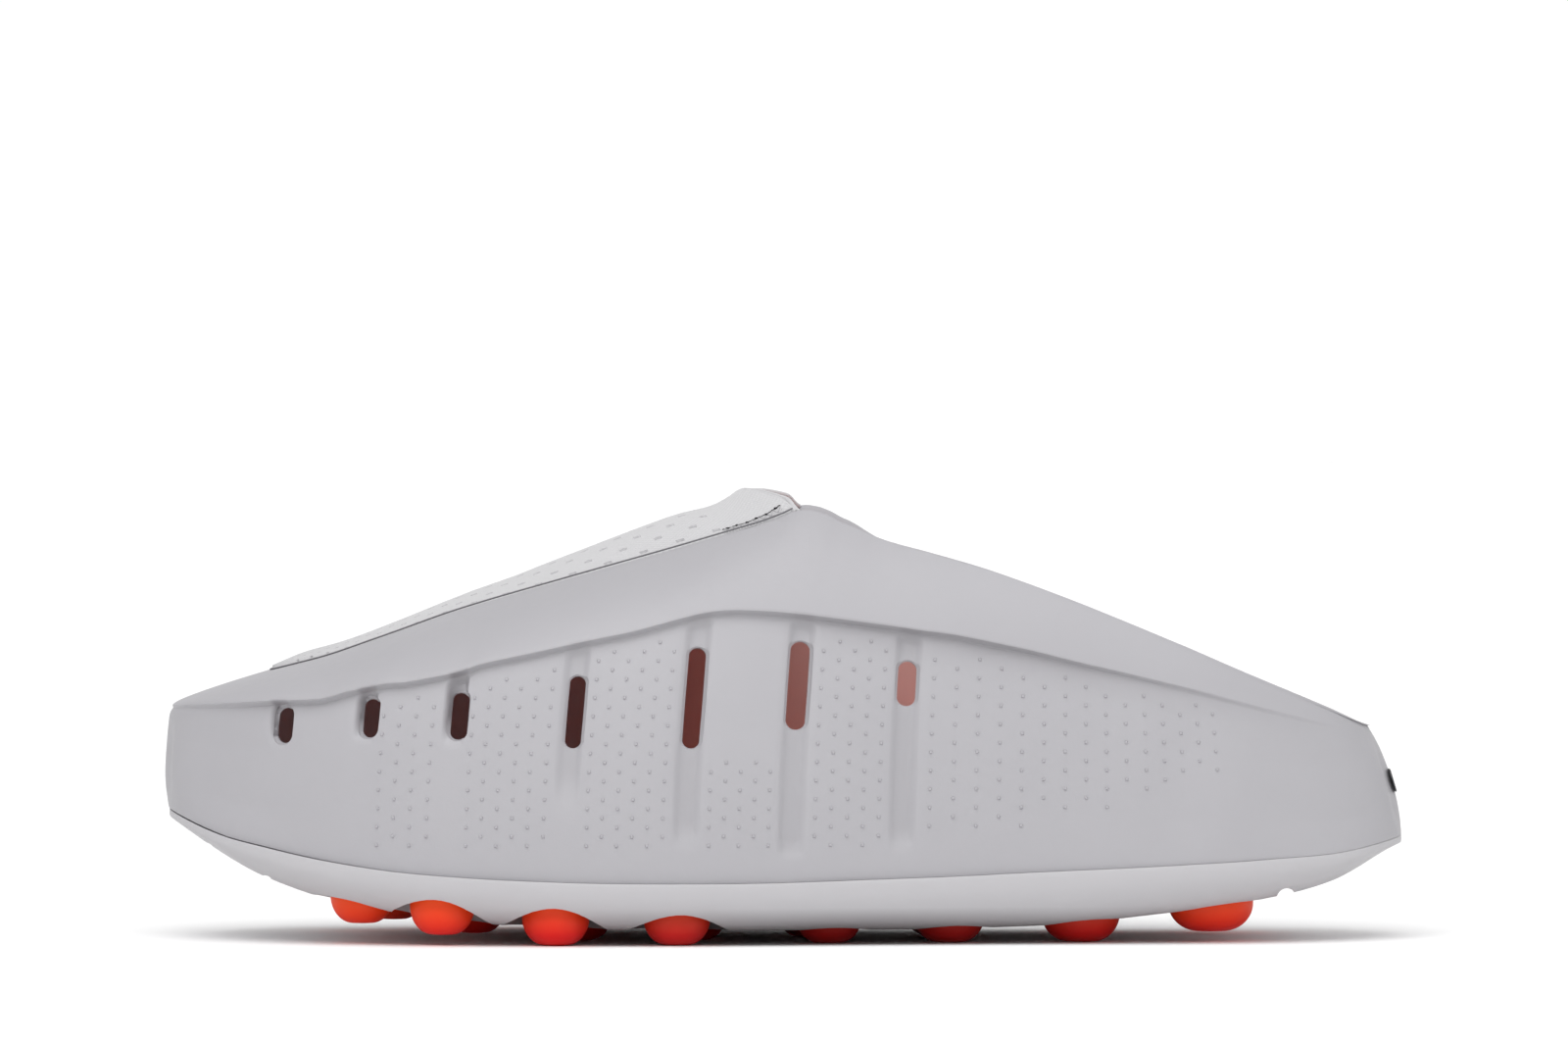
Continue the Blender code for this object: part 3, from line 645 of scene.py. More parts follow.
# The foam shell
shell = {
    "wall": 0.0036,
    "backed": 0.0010,  # a flute deeper than this pushes the inner face in
    "ledgeStep": 0.0016,
    "ledgeToHeel": (0.97, 0.30),  # the share where the ledge has faded out, and the length that it fades over
    "ledgeFromToe": (0.30, 0.13),  # its strength at the toe's tip, and the share where it is about full
    "ledgeReach": 0.0009,
    "ledgeHollow": (0.0007, 0.0036),  # the panel is hollow under the ledge: by how much, and how far down
    "fold": (0.0008, 0.0046),  # how far the ledge's edge is rounded, where the ledge is strongest and where it fades
    "rimRound": 0.0011,
    "ledgeShade": ((0.10, 0.0032), (0.26, 0.0052)),  # how much painted shade below the ledge, and how far down: toe half, heel half
    "halves": (0.44, 0.12),  # where the heel half begins, and how soon
    # how much painted shade in a hollow, and on a flute's floor
    "hollowShade": 0.80,
    "fluteShade": 0.09,
    "bounceFrom": (0.30, 0.16),  # painted bounce light on the foam's inner face starts behind this share, and how soon
    "fluteWidth": 0.0030,
    "fluteDepth": 0.0014,
    "fluteStart": (0.0006, 0.0024),  # how far below the ledge a flute begins, and how soon it is deep
    "hollowFrom": 1.2,  # a flute deeper than this share of the depth is a hollow
    "slotChamfer": 0.00045,
    "slotLip": 0.00035,  # how far above the skin its flare ends
    "slotFlare": 1.6,  # how wide the flare is for its chamfer
    "slotReach": 0.006,  # how far a cutter reaches past the skin on both sides
    "slotShades": (0.05, 0.7),  # painted shade on a slot's walls, plain and on the shaded side of a hollow
    "panelBulge": 0.00035,
    "medialShift": 0.028,
    "rippleEnds": (0.13, 0.72),  # the shares that the ripples at the toe end at and those at the heel start from
    "ripplePitch": 0.0150,
    "rippleDepth": 0.0012,
    "mainRows": 29,
    # how far the wall's foot lies back, by height
    "footRows": ((0.0, 0.00005), (0.0003, 0.00002), (0.0008, 0.0)),
    # the rows between the foot and the ledge keep clear of both, and these lie just below the ledge
    "mainClear": (0.0024, 0.0035),
    "ledgeDrops": (0.0028, 0.0022, 0.0017, 0.0013, 0.0010, 0.0007, 0.00045, 0.00022, 0.0),
    "bandLevels": (1.025, 1.06, 1.12, 1.20, 1.30, 1.42, 1.54, 1.66, 1.78, 1.88, 1.95),
    "rimSteps": 8,
    "innerLevels": (1.90, 1.6, 1.3, 1.0, 0.7, 0.35, 0.0),
}
fluteFields = ("along", "top", "foot", "width", "depth", "end", "endReach", "toeEdge", "heelEdge", "shift")
flutes = [dict(zip(fluteFields, row)) for row in (
    # the slot from top to foot, the flute's end below it; the first three are short and hollow
    (0.0896, 0.527, 0.4495, 0.0044, 1.35, 0.436, 0.0050, 0.0020, 0.0010, 0.0006),
    (0.1600, 0.550, 0.4655, 0.0039, 1.35, 0.450, 0.0050, 0.0020, 0.0010, 0.0006),
    (0.2325, 0.565, 0.4625, 0.0039, 1.30, 0.446, 0.0050, 0.0020, 0.0010, 0.0006),
    (0.3266, 0.601, 0.4430, 0.0039, 0.60, 0.300, 0.0100, 0.0022, 0.0016, 0.0004),
    (0.4222, 0.663, 0.4430, 0.0042, 0.78, 0.215, 0.0060, 0.0024, 0.0022, 0.0002),
    (0.5060, 0.676, 0.4830, 0.0048, 0.78, 0.205, 0.0018, 0.0022, 0.0022, 0.0000),
    (0.5948, 0.631, 0.5330, 0.0045, 0.78, 0.213, 0.0040, 0.0022, 0.0022, 0.0000),
)]
dimples = {
    "pitchAlong": 0.00374,
    "pitchUp": 0.00445,
    "cell": 0.00100,
    "rim": 0.00012,
    "taper": 0.00016,
    "depth": 0.00040,
    "span": (0.146, 0.852),  # shares of the length
    "underLedge": 0.0034,
    "bareAbove": 0.046,  # between the fifth and sixth slots the panel is smooth above this height
    "lattice": 0.02,  # a height that the lattice goes through
    "lowest": ((0.17, 0.0205), (0.55, 0.0215), (0.66, 0.0265), (0.76, 0.0335), (0.86, 0.0420)),
}


def isHollow(flute):
    return flute["depth"] > shell["hollowFrom"]


def slotEnds(flute):
    return flute["top"] * shoe["instepHeight"], flute["foot"] * shoe["instepHeight"]


def fluteShare(flute, side):
    return flute["along"] + (shell["medialShift"] if side > 0 else 0)


def fluteAngle(flute, side):
    return side * math.acos(2 * fluteShare(flute, side) - 1)


def anglePerMetre(angle):
    step = 0.01
    return 2 * step / (shellForm(angle + step, 0.6) - shellForm(angle - step, 0.6)).length


def lowestDimple(share):
    marks = dimples["lowest"]
    for (start, low), (end, high) in zip(marks, marks[1:]):
        if share <= end:
            return low + (high - low) * max(0.0, (share - start) / (end - start))
    return marks[-1][1]


def acrossFlute(flute, side):
    # angles across one flute, each with how deep it lies there
    half = shell["fluteWidth"] / 2
    across = [(-half - flute["toeEdge"] * t, ease(1 - t)) for t in (1.0, 0.75, 0.5, 0.25, 0.0)]
    across += [(-half * 0.4, 1.0), (half * 0.4, 1.0)]
    across += [(half + flute["heelEdge"] * t, ease(1 - t)) for t in (0.0, 0.33, 0.67, 1.0)]
    at = fluteAngle(flute, side)
    turn = anglePerMetre(at) * (1 if side < 0 else -1)
    return sorted((at + (offset - flute["shift"]) * turn, fall) for offset, fall in across)


def between(start, end):
    # columns that fill a stretch of wall: pairs of close ones where dimples go, single ones elsewhere
    length = abs(end - start) / anglePerMetre((start + end) / 2)
    made = []
    count = max(1, round(length / dimples["pitchAlong"]))
    for i in range(count):
        at = start + (end - start) * (i + 0.5) / count
        if dimples["span"][0] < baseShare(at) < dimples["span"][1]:
            half = dimples["cell"] / 2 * anglePerMetre(at)
            made += [(at - half, None, 0.0, True), (at + half, None, 0.0, False)]
        else:
            made.append((at, None, 0.0, False))
    return made


def shellColumns():
    # every column: its angle, its flute and how deep it lies in it, whether a row of dimples starts there
    columns = []
    for side in (-1, 1):
        stops = []
        for flute in flutes:
            across = acrossFlute(flute, side)
            columns += [(angle, flute, fall, False) for angle, fall in across]
            stops.append((across[0][0], across[-1][0]))
        stops.sort()
        first, last = (-math.pi, 0.0) if side < 0 else (0.0, math.pi)
        ends = [(first, first)] + stops + [(last, last)]
        for before, after in zip(ends, ends[1:]):
            columns += between(before[1], after[0])
    columns += [(0.0, None, 0.0, False), (math.pi, None, 0.0, False)]
    return sorted(columns, key=lambda column: column[0])


def ledgeStrength(share):
    # the ledge fades out along the heel and is low at the toe's tip
    (end, fade), (least, rise) = shell["ledgeToHeel"], shell["ledgeFromToe"]
    return min(1.0, max(0.0, (end - share) / fade)) * min(1.0, least + share / rise)


def ripple(angle, level):
    share = baseShare(angle)
    toe, heel = shell["rippleEnds"]
    toeFade, heelFade = max(0.0, 1 - share / toe), max(0.0, (share - heel) / (1 - heel))
    around = basePlan(angle)
    phase = 2 * math.pi * (abs(around.y) + abs(around.x) * 0.7) / shell["ripplePitch"]
    fade = min(1.0, 2.2 * (toeFade + heelFade)) * min(1.0, 3 * (1 - level)) * min(1.0, 4 * level)
    return shell["rippleDepth"] * max(0.0, fade) * (0.5 - 0.5 * math.cos(phase))


def panelBulge(angle, level):
    # the panels between the flutes are slightly full
    marks = sorted(fluteAngle(flute, 1 if angle > 0 else -1) for flute in flutes[2:])
    for start, end in zip(marks, marks[1:]):
        if start < angle < end:
            t = (angle - start) / (end - start)
            return shell["panelBulge"] * math.sin(math.pi * t) ** 1.2 * math.sin(math.pi * min(1.0, level)) ** 0.6
    return 0.0


def wallDepth(angle, height, flute=None, fall=0.0):
    # how far the outer face lies below the form, below the ledge
    low, ledge = wallSpan(angle)
    level = (height - low) / (ledge - low)
    hollow, reach = shell["ledgeHollow"]
    under = max(0.0, ledge - height)
    depth = ledgeStrength(baseShare(angle)) * ease(under / shell["ledgeReach"]) * (
        shell["ledgeStep"] + hollow * math.exp(-under / reach))
    depth += ripple(angle, level) - panelBulge(angle, level) - endFullness(angle, level)
    if flute and fall:
        start, soon = shell["fluteStart"]
        upper = ease((ledge - height - start) / soon)
        lower = ease((height - flute["end"] * shoe["instepHeight"]) / flute["endReach"])
        depth += shell["fluteDepth"] * flute["depth"] * fall * upper * lower
    return depth


def paintedShadeAt(angle, height, flute, fall):
    # how much painted shade the foam gets in a recess, from 0 to 1
    share = baseShare(angle)
    half, soon = shell["halves"]
    behind = ease((share - half) / soon)
    strength, reach = (front + (back - front) * behind for front, back in zip(*shell["ledgeShade"]))
    under = max(0.0, wallSpan(angle)[1] - height)
    tone = strength * ledgeStrength(share) * math.exp(-(under / reach) ** 2)
    if not flute or not fall:
        return min(1.0, tone)
    if not isHollow(flute):
        lower = ease((height - flute["end"] * shoe["instepHeight"]) / flute["endReach"])
        return min(1.0, tone + shell["fluteShade"] * fall * lower)
    # a hollow gets painted shade on its toe side, and all across above the slot
    top, foot = slotEnds(flute)
    middle = basePlan(fluteAngle(flute, math.copysign(1, angle))).x
    toeward = ease((middle - basePlan(angle).x + 0.0012) / 0.0018)
    over = 0.45 + 0.55 * ease((top + 0.0012 - height) / 0.0030)
    lower = ease((height - foot + 0.0006) / 0.0050)
    return min(1.0, tone + shell["hollowShade"] * fall ** 1.3 * max(toeward, 1 - over) * over * lower)


def foldPoint(angle, level, depth=0.0):
    # a place on the outer face, with the fold between wall and band rounded
    low, ledge = wallSpan(angle)
    least, most = shell["fold"]
    reach = least + (most - least) * (1 - ledgeStrength(baseShare(angle)))
    below = min(0.5, reach / (ledge - low))
    above = min(0.8, reach / (shellForm(angle, 2.0) - shellForm(angle, 1.0)).length)
    if not 1 - below < level < 1 + above:
        return wallPoint(angle, level, depth)
    t = 0.5 * (level - 1 + below) / below if level < 1 else 0.5 + 0.5 * (level - 1) / above
    start, corner, end = (shellForm(angle, at) for at in (1 - below, 1.0, 1 + above))
    out = shellOut(angle, 1 - below).lerp(shellOut(angle, 1 + above), t).normalized()
    return start * (1 - t) ** 2 + corner * (2 * t * (1 - t)) + end * t ** 2 - out * depth


def mainHeights(angle):
    low, ledge = wallSpan(angle)
    start, end = low + shell["mainClear"][0], ledge - shell["mainClear"][1]
    return [start + (end - start) * i / (shell["mainRows"] - 1) for i in range(shell["mainRows"])]


def placeDimples(columns, heights):
    # picks each dimple's cell, and bends the rows to it, so that the lattice stays level
    dotted = set()
    pitch, half, lattice = dimples["pitchUp"], dimples["cell"] / 2, dimples["lattice"]
    dottedColumns = [index for index, column in enumerate(columns) if column[3]]
    for order, index in enumerate(dottedColumns):
        angle = columns[index][0]
        share = baseShare(angle)
        fifth, sixth = (fluteShare(flute, angle) for flute in flutes[4:6])
        height = math.ceil((lowestDimple(share) - lattice) / pitch) * pitch + lattice
        height += 0.5 * pitch if order % 2 else 0
        while height < wallSpan(angle)[1] - dimples["underLedge"]:
            main = heights[index]
            middles = [(main[i] + main[i + 1]) / 2 for i in range(len(main) - 1)]
            row = min(range(len(middles)), key=lambda i: abs(middles[i] - height))
            bare = fifth < share < sixth and height > dimples["bareAbove"]
            if not bare and abs(middles[row] - height) < pitch / 3:
                for column in (index, index + 1):
                    heights[column][row:row + 2] = height - half, height + half
                dotted.add((index, len(shell["footRows"]) + row))
            height += pitch
    return dotted


def shellRing(column, heights):
    # one column of the shell's points: up the outer face, over the rim and down the inner face
    angle, flute, fall, _ = column
    low, ledge = wallSpan(angle)
    points = []
    for rise, drop in shell["footRows"]:
        point = wallPoint(angle, rise / (ledge - low), drop + wallDepth(angle, low + rise, flute, fall))
        point.z -= (shoe["pieceGap"] - shoe["seam"]) * (1 - rise / shell["footRows"][-1][0])
        points.append(point)
    for height in heights + [ledge - drop for drop in shell["ledgeDrops"]]:
        points.append(foldPoint(angle, (height - low) / (ledge - low), wallDepth(angle, height, flute, fall)))
    points += [foldPoint(angle, level, -endFullness(angle, level)) for level in shell["bandLevels"]]
    for i in range(shell["rimSteps"] + 1):
        turn = math.pi * i / shell["rimSteps"]
        depth = shell["wall"] * (1 - math.cos(turn)) / 2
        points.append(wallPoint(angle, 2.0, depth) - rimRise(angle) * shell["rimRound"] * (1 - math.sin(turn)))
    backing = max(0.0, shell["fluteDepth"] * flute["depth"] * fall - shell["backed"]) if flute else 0.0
    for level in shell["innerLevels"]:
        points.append(wallPoint(angle, level, shell["wall"] + (backing if 0.3 < level < 1.1 else 0.0)))
    points[-1].z = partingHeight(points[-1].x) + shoe["pieceGap"]
    return points


def makeShell():
    columns = shellColumns()
    heights = [mainHeights(column[0]) for column in columns]
    dotted = placeDimples(columns, heights)
    rings = [shellRing(column, main) for column, main in zip(columns, heights)]
    piece = pipe("foamShell", len(columns), len(rings[0]))
    cells = [pipePlace(face.center, len(columns)) for face in piece.data.polygons]
    dottedFaces = [i for i, (column, row) in enumerate(cells) if (int(column), int(row)) in dotted]
    # red is how much painted shade the foam gets in its recesses, green how much painted warm bounce light from the
    # footbed it gets inside the shoe
    firstMain = len(shell["footRows"])
    firstBand = firstMain + shell["mainRows"] + len(shell["ledgeDrops"])
    firstInner = len(rings[0]) - len(shell["innerLevels"])
    bounceFrom, bounceReach = shell["bounceFrom"]
    tones = []
    for vertex, (column, row) in zip(piece.data.vertices, layRings(piece, rings)):
        angle, flute, fall, _ = columns[column]
        paintedShade = paintedShadeAt(angle, vertex.co.z, flute, fall) if firstMain <= row < firstBand else 0.0
        inner = ease((2.0 - shell["innerLevels"][row - firstInner]) / 0.8) if row >= firstInner else 0.0
        tones.append((paintedShade, inner * ease((baseShare(angle) - bounceFrom) / bounceReach), 0.0, 1.0))
    paintTone(piece, tones)
    sinkFaces(piece, dottedFaces, dimples["rim"], dimples["taper"], dimples["depth"])
    # the foot of the wall closes between its two faces
    selectOpenEdges()
    bpy.ops.mesh.bridge_edge_loops()
    leaveEdit()
    finishMesh(piece, 35)
    subtract(piece, slotCutters())
    finishMesh(piece, 35)
    dress(piece, "shell_foam", shellFoam, "upper")
    print("shell made:", len(piece.data.polygons), "faces,", len(dotted), "dimples")


def slotCutter(flute, side):
    # an upright bar with round ends and a flared mouth
    angle = fluteAngle(flute, side)
    low, ledge = wallSpan(angle)
    levels = [(height - low) / (ledge - low) for height in slotEnds(flute)]
    top, foot = (wallPoint(angle, level) for level in levels)
    out = shellOut(angle, sum(levels) / 2)
    up = (top - foot).normalized()
    along = up.cross(out).normalized()
    radius = flute["width"] / 2
    middle, reach = (top + foot) / 2, (top - foot).length / 2 - radius
    skin = shell["ledgeStep"] + shell["fluteDepth"] * flute["depth"]
    cutter = added(bpy.ops.mesh.primitive_circle_add, vertices=32, radius=radius, fill_type="NGON")
    bpy.ops.object.mode_set(mode="EDIT")
    bpy.ops.mesh.select_all(action="SELECT")
    for _ in range(3):
        bpy.ops.mesh.extrude_region_move(TRANSFORM_OT_translate={"value": (0, 0, 1)})
    leaveEdit()
    # rings: inside, just under the skin, at the skin, outside
    flare = shell["slotChamfer"] * shell["slotFlare"]
    rings = (
        (-skin - shell["slotReach"], 0.0), (-skin - shell["slotChamfer"], 0.0),
        (-skin + shell["slotLip"], flare), (-skin + shell["slotReach"], flare))
    tones = []
    for vertex in cutter.data.vertices:
        depth, wider = rings[round(vertex.co.z)]
        flat = Vector((vertex.co.x, vertex.co.y))
        size = (radius + wider) / radius
        offset = reach * (1 if flat.y > 1e-6 else -1 if flat.y < -1e-6 else 0)
        vertex.co = middle + along * flat.x * size + up * (flat.y * size + offset) + out * depth
        # the slot's walls take the cutter's painted shade, darker on a hollow's toe side
        shaded = isHollow(flute) and vertex.co.x < middle.x and vertex.co.z > foot.z + 0.0012
        tones.append((shell["slotShades"][shaded], 0.0, 0.0, 1.0))
    paintTone(cutter, tones)
    return cutter


def slotCutters():
    cutters = joinAll([slotCutter(flute, side) for side in (-1, 1) for flute in flutes])
    editFaces(cutters)
    bpy.ops.mesh.normals_make_consistent(inside=False)
    leaveEdit()
    return cutters


makeShell()

# The foam base with its pockets
base = {
    "columns": 176,
    "lip": 0.0016,
    "least": 0.0005,
    "turn": 0.0145,
    "square": 2.2,
    "topInset": 0.006,
    "edgeRound": 0.00012,
    "profileRows": 12,
    "pocketFlare": 0.0042,
    "pocketFlareHeight": 0.0076,
    "pocketSides": 40,
    "pocketSteps": 8,
    "pocketReach": 0.004,  # how far a cutter reaches past the foam, below and above
    "grooves": ((-0.1393, 0.0013, 0.0008), (-0.1250, 0.0013, 0.0008), (0.1212, 0.0022, 0.0019)),  # x, radius, bite
    "grooveLength": 0.16,
    "grooveSides": 20,
}


def planInset(angle, distance):
    step = 0.01
    along = basePlan(angle + step) - basePlan(angle - step)
    return basePlan(angle) + Vector((-along.y, along.x, 0)).normalized() * distance


def baseRing(angle):
    # one column of the base's points: over its top edge, down its lip and round under it
    tuck, rounded = shoe["toeTuck"] * toeNearness(angle), base["edgeRound"]
    steps = (
        (base["topInset"], 0.0), (rounded, 0.0), (rounded * 0.3, rounded * 0.3), (0.0, rounded), (0.0, base["lip"]))
    points = []
    for inset, drop in steps:
        point = planInset(angle, inset + tuck)
        point.z = partingHeight(point.x) - drop
        points.append(point)
    for i in range(1, base["profileRows"] + 1):
        turn = math.pi / 2 * i / base["profileRows"]
        point = planInset(angle, tuck + base["turn"] * (1 - math.cos(turn) ** (2 / base["square"])))
        edge = partingHeight(point.x) - base["lip"]
        deep = edge - min(edge - base["least"], underHeight(point.x))
        point.z = edge - deep * math.sin(turn) ** (2 / base["square"])
        points.append(point)
    return points


def capLoop(shape, loop):
    # strips across a loop of mirrored points, from its heel tip to its toe tip
    half = len(loop) // 2
    shape.faces.new((loop[0], loop[1], loop[-1]))
    for i in range(1, half - 1):
        shape.faces.new((loop[i], loop[i + 1], loop[-i - 1], loop[-i]))
    shape.faces.new((loop[half - 1], loop[half], loop[half + 1]))


def makeBase():
    count = base["columns"]
    rings = [baseRing(2 * math.pi * i / count) for i in range(count)]
    piece = pipe("foamBase", count, len(rings[0]))
    ends = {0: {}, len(rings[0]) - 1: {}}
    for index, (column, row) in enumerate(layRings(piece, rings)):
        if row in ends:
            ends[row][column] = index
    takeUp(piece)
    bpy.ops.object.mode_set(mode="EDIT")
    shape = bmesh.from_edit_mesh(piece.data)
    shape.verts.ensure_lookup_table()
    for members in ends.values():
        capLoop(shape, [shape.verts[members[column]] for column in range(count)])
    bmesh.update_edit_mesh(piece.data)
    leaveEdit()
    finishMesh(piece, 40)
    subtract(piece, pocketCutters(), selfCrossing=True)
    subtract(piece, grooveCutters())
    finishMesh(piece, 40)
    dress(piece, "base_foam", baseFoam, "outsole")
    print("base made:", len(piece.data.polygons), "faces")


def studFacts(node):
    # where a stud stands, its radius, and the heights of its foot and its top
    low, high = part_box(node)
    middle = ((low[0] + high[0]) / 2, (low[1] + high[1]) / 2)
    return middle, (high[0] - low[0]) / 2, low[2], high[2]


def turnedSolid(name, sides, rings, middle):
    # a turned solid from (radius, height) rings, closed at both ends
    piece = pipe(name, sides, len(rings))
    for vertex in piece.data.vertices:
        radius, height = rings[round(vertex.co.z)]
        flat = Vector((vertex.co.x, vertex.co.y)).normalized() * radius
        vertex.co = (middle[0] + flat.x, middle[1] + flat.y, height)
    closeEnds(piece)
    return piece


def pocketCutters():
    cutters = []
    for node in studNodes:
        middle, radius, foot, top = studFacts(node)
        snug, under = radius + shoe["pieceGap"], underHeight(middle[0])
        rings = []
        for i in range(base["pocketSteps"] + 1):
            turn = math.pi / 2 * i / base["pocketSteps"]
            flare = base["pocketFlare"] * math.cos(turn)
            rings.append((snug + flare, under + base["pocketFlareHeight"] * math.sin(turn)))
        lowest, highest = min(under, foot) - base["pocketReach"], top + base["pocketReach"]
        rings = [(rings[0][0], lowest)] + rings + [(snug, highest)]
        cutters.append(turnedSolid("pocket", base["pocketSides"], rings, middle))
    return joinAll(cutters)


def grooveCutters():
    cutters = []
    for x, radius, bite in base["grooves"]:
        cutters.append(added(
            bpy.ops.mesh.primitive_cylinder_add, vertices=base["grooveSides"], radius=radius,
            depth=base["grooveLength"], location=(x, 0, underHeight(x) - radius + bite),
            rotation=(math.pi / 2, 0, 0)))
        bpy.ops.object.transform_apply()
    return joinAll(cutters)


studNodes = sorted(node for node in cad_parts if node.startswith("stud_"))
makeBase()

# The walking studs: each a short bar with a crowned foot, standing in its pocket
studs = {"sides": 48, "flatShare": 0.30, "crownSteps": 14, "crown": 0.0068}


def makeStud(node):
    middle, radius, foot, top = studFacts(node)
    flat = studs["flatShare"]
    turns = [math.pi / 2 * i / studs["crownSteps"] for i in range(studs["crownSteps"] + 1)]
    rings = [(flat + (1 - flat) * math.sin(turn), 1 - math.cos(turn)) for turn in turns]
    rings = [(radius * out, foot + studs["crown"] * up) for out, up in rings] + [(radius, top)]
    piece = turnedSolid(node.replace("stud_", "walkingStud"), studs["sides"], rings, middle)
    finishMesh(piece, 30)
    dress(piece, "stud_foam", studRubber, node)


for node in studNodes:
    makeStud(node)
print("studs made:", len(studNodes))

# The footbed
footbed = {
    "clear": 0.0009,
    "seat": 0.0006,
    "thickness": 0.0060,
    "filled": 0.6,  # the share of the thickness that the piece fills
    "dish": 0.0022,
    "rim": 0.0100,
    "edgeRound": 0.0016,
    "cells": (96, 28),
    "uvSize": (0.290, 0.100),
    "stitch": (0.0016, 0.0016),
    "light": (0.960, 0.130, 0.050),
    "dark": (0.700, 0.055, 0.020),
}


def makeFootbed():
    piece = sheetGrid("footbed", *footbed["cells"])
    inset = shell["wall"] + footbed["clear"]
    for vertex in piece.data.vertices:
        angle = math.pi * vertex.co.x
        across = 0.5 - 0.5 * math.cos(math.pi * vertex.co.y)
        edges = []
        for turn in (-angle, angle):
            low, ledge = wallSpan(turn)
            edges.append(wallPoint(turn, footbed["thickness"] / (ledge - low), inset))
        point = edges[0].lerp(edges[1], across)
        border = min(
            (1 - abs(2 * across - 1)) * (edges[1] - edges[0]).length / 2,
            point.x - station(0) - inset, station(1) - inset - point.x)
        point.z = partingHeight(point.x) + footbed["seat"] + footbed["thickness"]
        point.z -= footbed["dish"] * ease(border / footbed["rim"])
        point.z -= footbed["edgeRound"] * (1 - math.sqrt(min(1.0, max(0.0, border / footbed["edgeRound"]))))
        vertex.co = point
    finishMesh(piece, 60, 1e-5)
    thicken(piece, footbed["thickness"] * footbed["filled"])
    dress(piece, "footbed_textile", knitMaterial("footbedFabric", footbed, 0.00018, 0.25), "insole")
    print("footbed made")


makeFootbed()

# The textile vamp
vamp = {
    "thickness": 0.0022,
    "clear": 0.0006,
    "drop": 0.0002,
    "scoop": 0.0125,
    "crownPower": (2.0, 2.6),  # how squarely the crown falls off, in front and along the rear edge
    "scoopPower": 1.5,
    # how far it lies below the solid behind its front, rises there, and sags before the throat: by shares
    "settle": (0.0006, 0.57, 0.09),
    "frontLift": (0.0011, 0.40, 0.22),
    "dip": (0.0010, 0.880, 0.07, 1.000, 0.03),
    "pull": 0.0016,  # how far its rear edge stays in front of the solid's
    "puff": 0.0014,  # how much fuller its rear is
    "rise": 0.36,  # how steeply it climbs to its rear edge
    "puffReach": 0.0045,
    "tuck": 0.0012,
    "tuckReach": 0.0020,
    "start": 0.012,  # the tip is a short edge, not a point
    "length": 0.13,
    "crowding": 0.35,  # how much closer the cells lie along the edges
    "cells": (84, 30),
    "uvSize": (0.140, 0.054),
    "stitch": (0.0011, 0.0013),
    "light": (0.560, 0.556, 0.566),
    "dark": (0.400, 0.394, 0.410),
    "holeRim": 0.00008,
    "holeTaper": 0.00046,
    "holeDepth": 0.00090,
    "holeColumns": range(13, 78),  # the cells that pinholes are in
    "holeRows": range(2, 28, 3),
    "holeStep": 4,  # cells between pinholes along
}


def throatAngle():
    toe, heel = shoe["opening"]
    return math.acos(2 * (shoe["throat"] - toe) / (heel - toe) - 1)


def rimEdge(angle, depth, clear):
    return wallPoint(angle, 2.0, depth) + rimRise(angle) * clear


def vampPoint(share, across, depth=0.0):
    angle = math.pi - (math.pi - throatAngle()) * share
    left, right = (rimEdge(turn, depth + vamp["drop"], vamp["clear"]) for turn in (-angle, angle))
    along = shareAlong((left.x + right.x) / 2)
    rear, off = share ** 6, abs(2 * across - 1)
    front, back = vamp["crownPower"]
    point = left.lerp(right, across)
    point.z += shoe["instepHeight"] * rimAt("crown", along) * (1 - off ** (front + (back - front) * rear))
    point.x -= vamp["scoop"] * rear * (1 - off ** vamp["scoopPower"]) + vamp["pull"] * rear
    point.z -= vamp["pull"] * rear * vamp["rise"]
    if share > 0.5:
        point.z -= waveAt(rimWave, along) * (1 - off ** 4)
    return point


def vampBorder(share, across):
    # how far a place on the vamp is from the shell's edge
    sideways = min(across, 1 - across) * (vampPoint(share, 1) - vampPoint(share, 0)).length
    return min(sideways, (share - vamp["start"]) * vamp["length"])


def vampTop(share, across, lift=0.0):
    # the vamp's face: full in the middle and tucked in along its edges
    border = vampBorder(share, across)
    point = vampPoint(share, across)
    full = max(0.0, share) ** 20
    settle, behind, settling = vamp["settle"]
    frontLift, front, lifting = vamp["frontLift"]
    dip, start, sinking, end, rising = vamp["dip"]
    sag = ease((share - start) / sinking) * ease((end - share) / rising)
    point.z += vamp["puff"] * full * ease(border / vamp["puffReach"]) + lift
    point.z -= settle * (1 - full) * ease((share - behind) / settling)
    point.z += frontLift * ease((front - share) / lifting) * ease(border / vamp["tuckReach"])
    point.z -= dip * sag * ease(border / vamp["puffReach"])
    point.z -= vamp["tuck"] * (1 - math.sqrt(min(1.0, border / vamp["tuckReach"])))
    return point


def makeVamp():
    piece = sheetGrid("vampPanel", *vamp["cells"])
    holes = []
    for face in piece.data.polygons:
        column, row = (int(place * cells) for place, cells in zip(face.center, vamp["cells"]))
        if column in vamp["holeColumns"] and row in vamp["holeRows"]:
            stagger = vamp["holeRows"].index(row) % 2 * vamp["holeStep"] // 2
            if (column + stagger) % vamp["holeStep"] == 0:
                holes.append(face.index)
    for vertex in piece.data.vertices:
        share = vamp["start"] + (1 - vamp["start"]) * vertex.co.x
        crowded = 0.5 - 0.5 * math.cos(math.pi * vertex.co.y)
        vertex.co = vampTop(share, vamp["crowding"] * crowded + (1 - vamp["crowding"]) * vertex.co.y)
    sinkFaces(piece, holes, vamp["holeRim"], vamp["holeTaper"], vamp["holeDepth"])
    leaveEdit()
    finishMesh(piece, 60, 1e-5)
    thicken(piece, vamp["thickness"])
    dress(piece, "vamp_textile", knitMaterial("vampKnit", vamp, 0.00012, 0.35), "vamp")
    print("vamp made:", len(holes), "pinholes")


makeVamp()

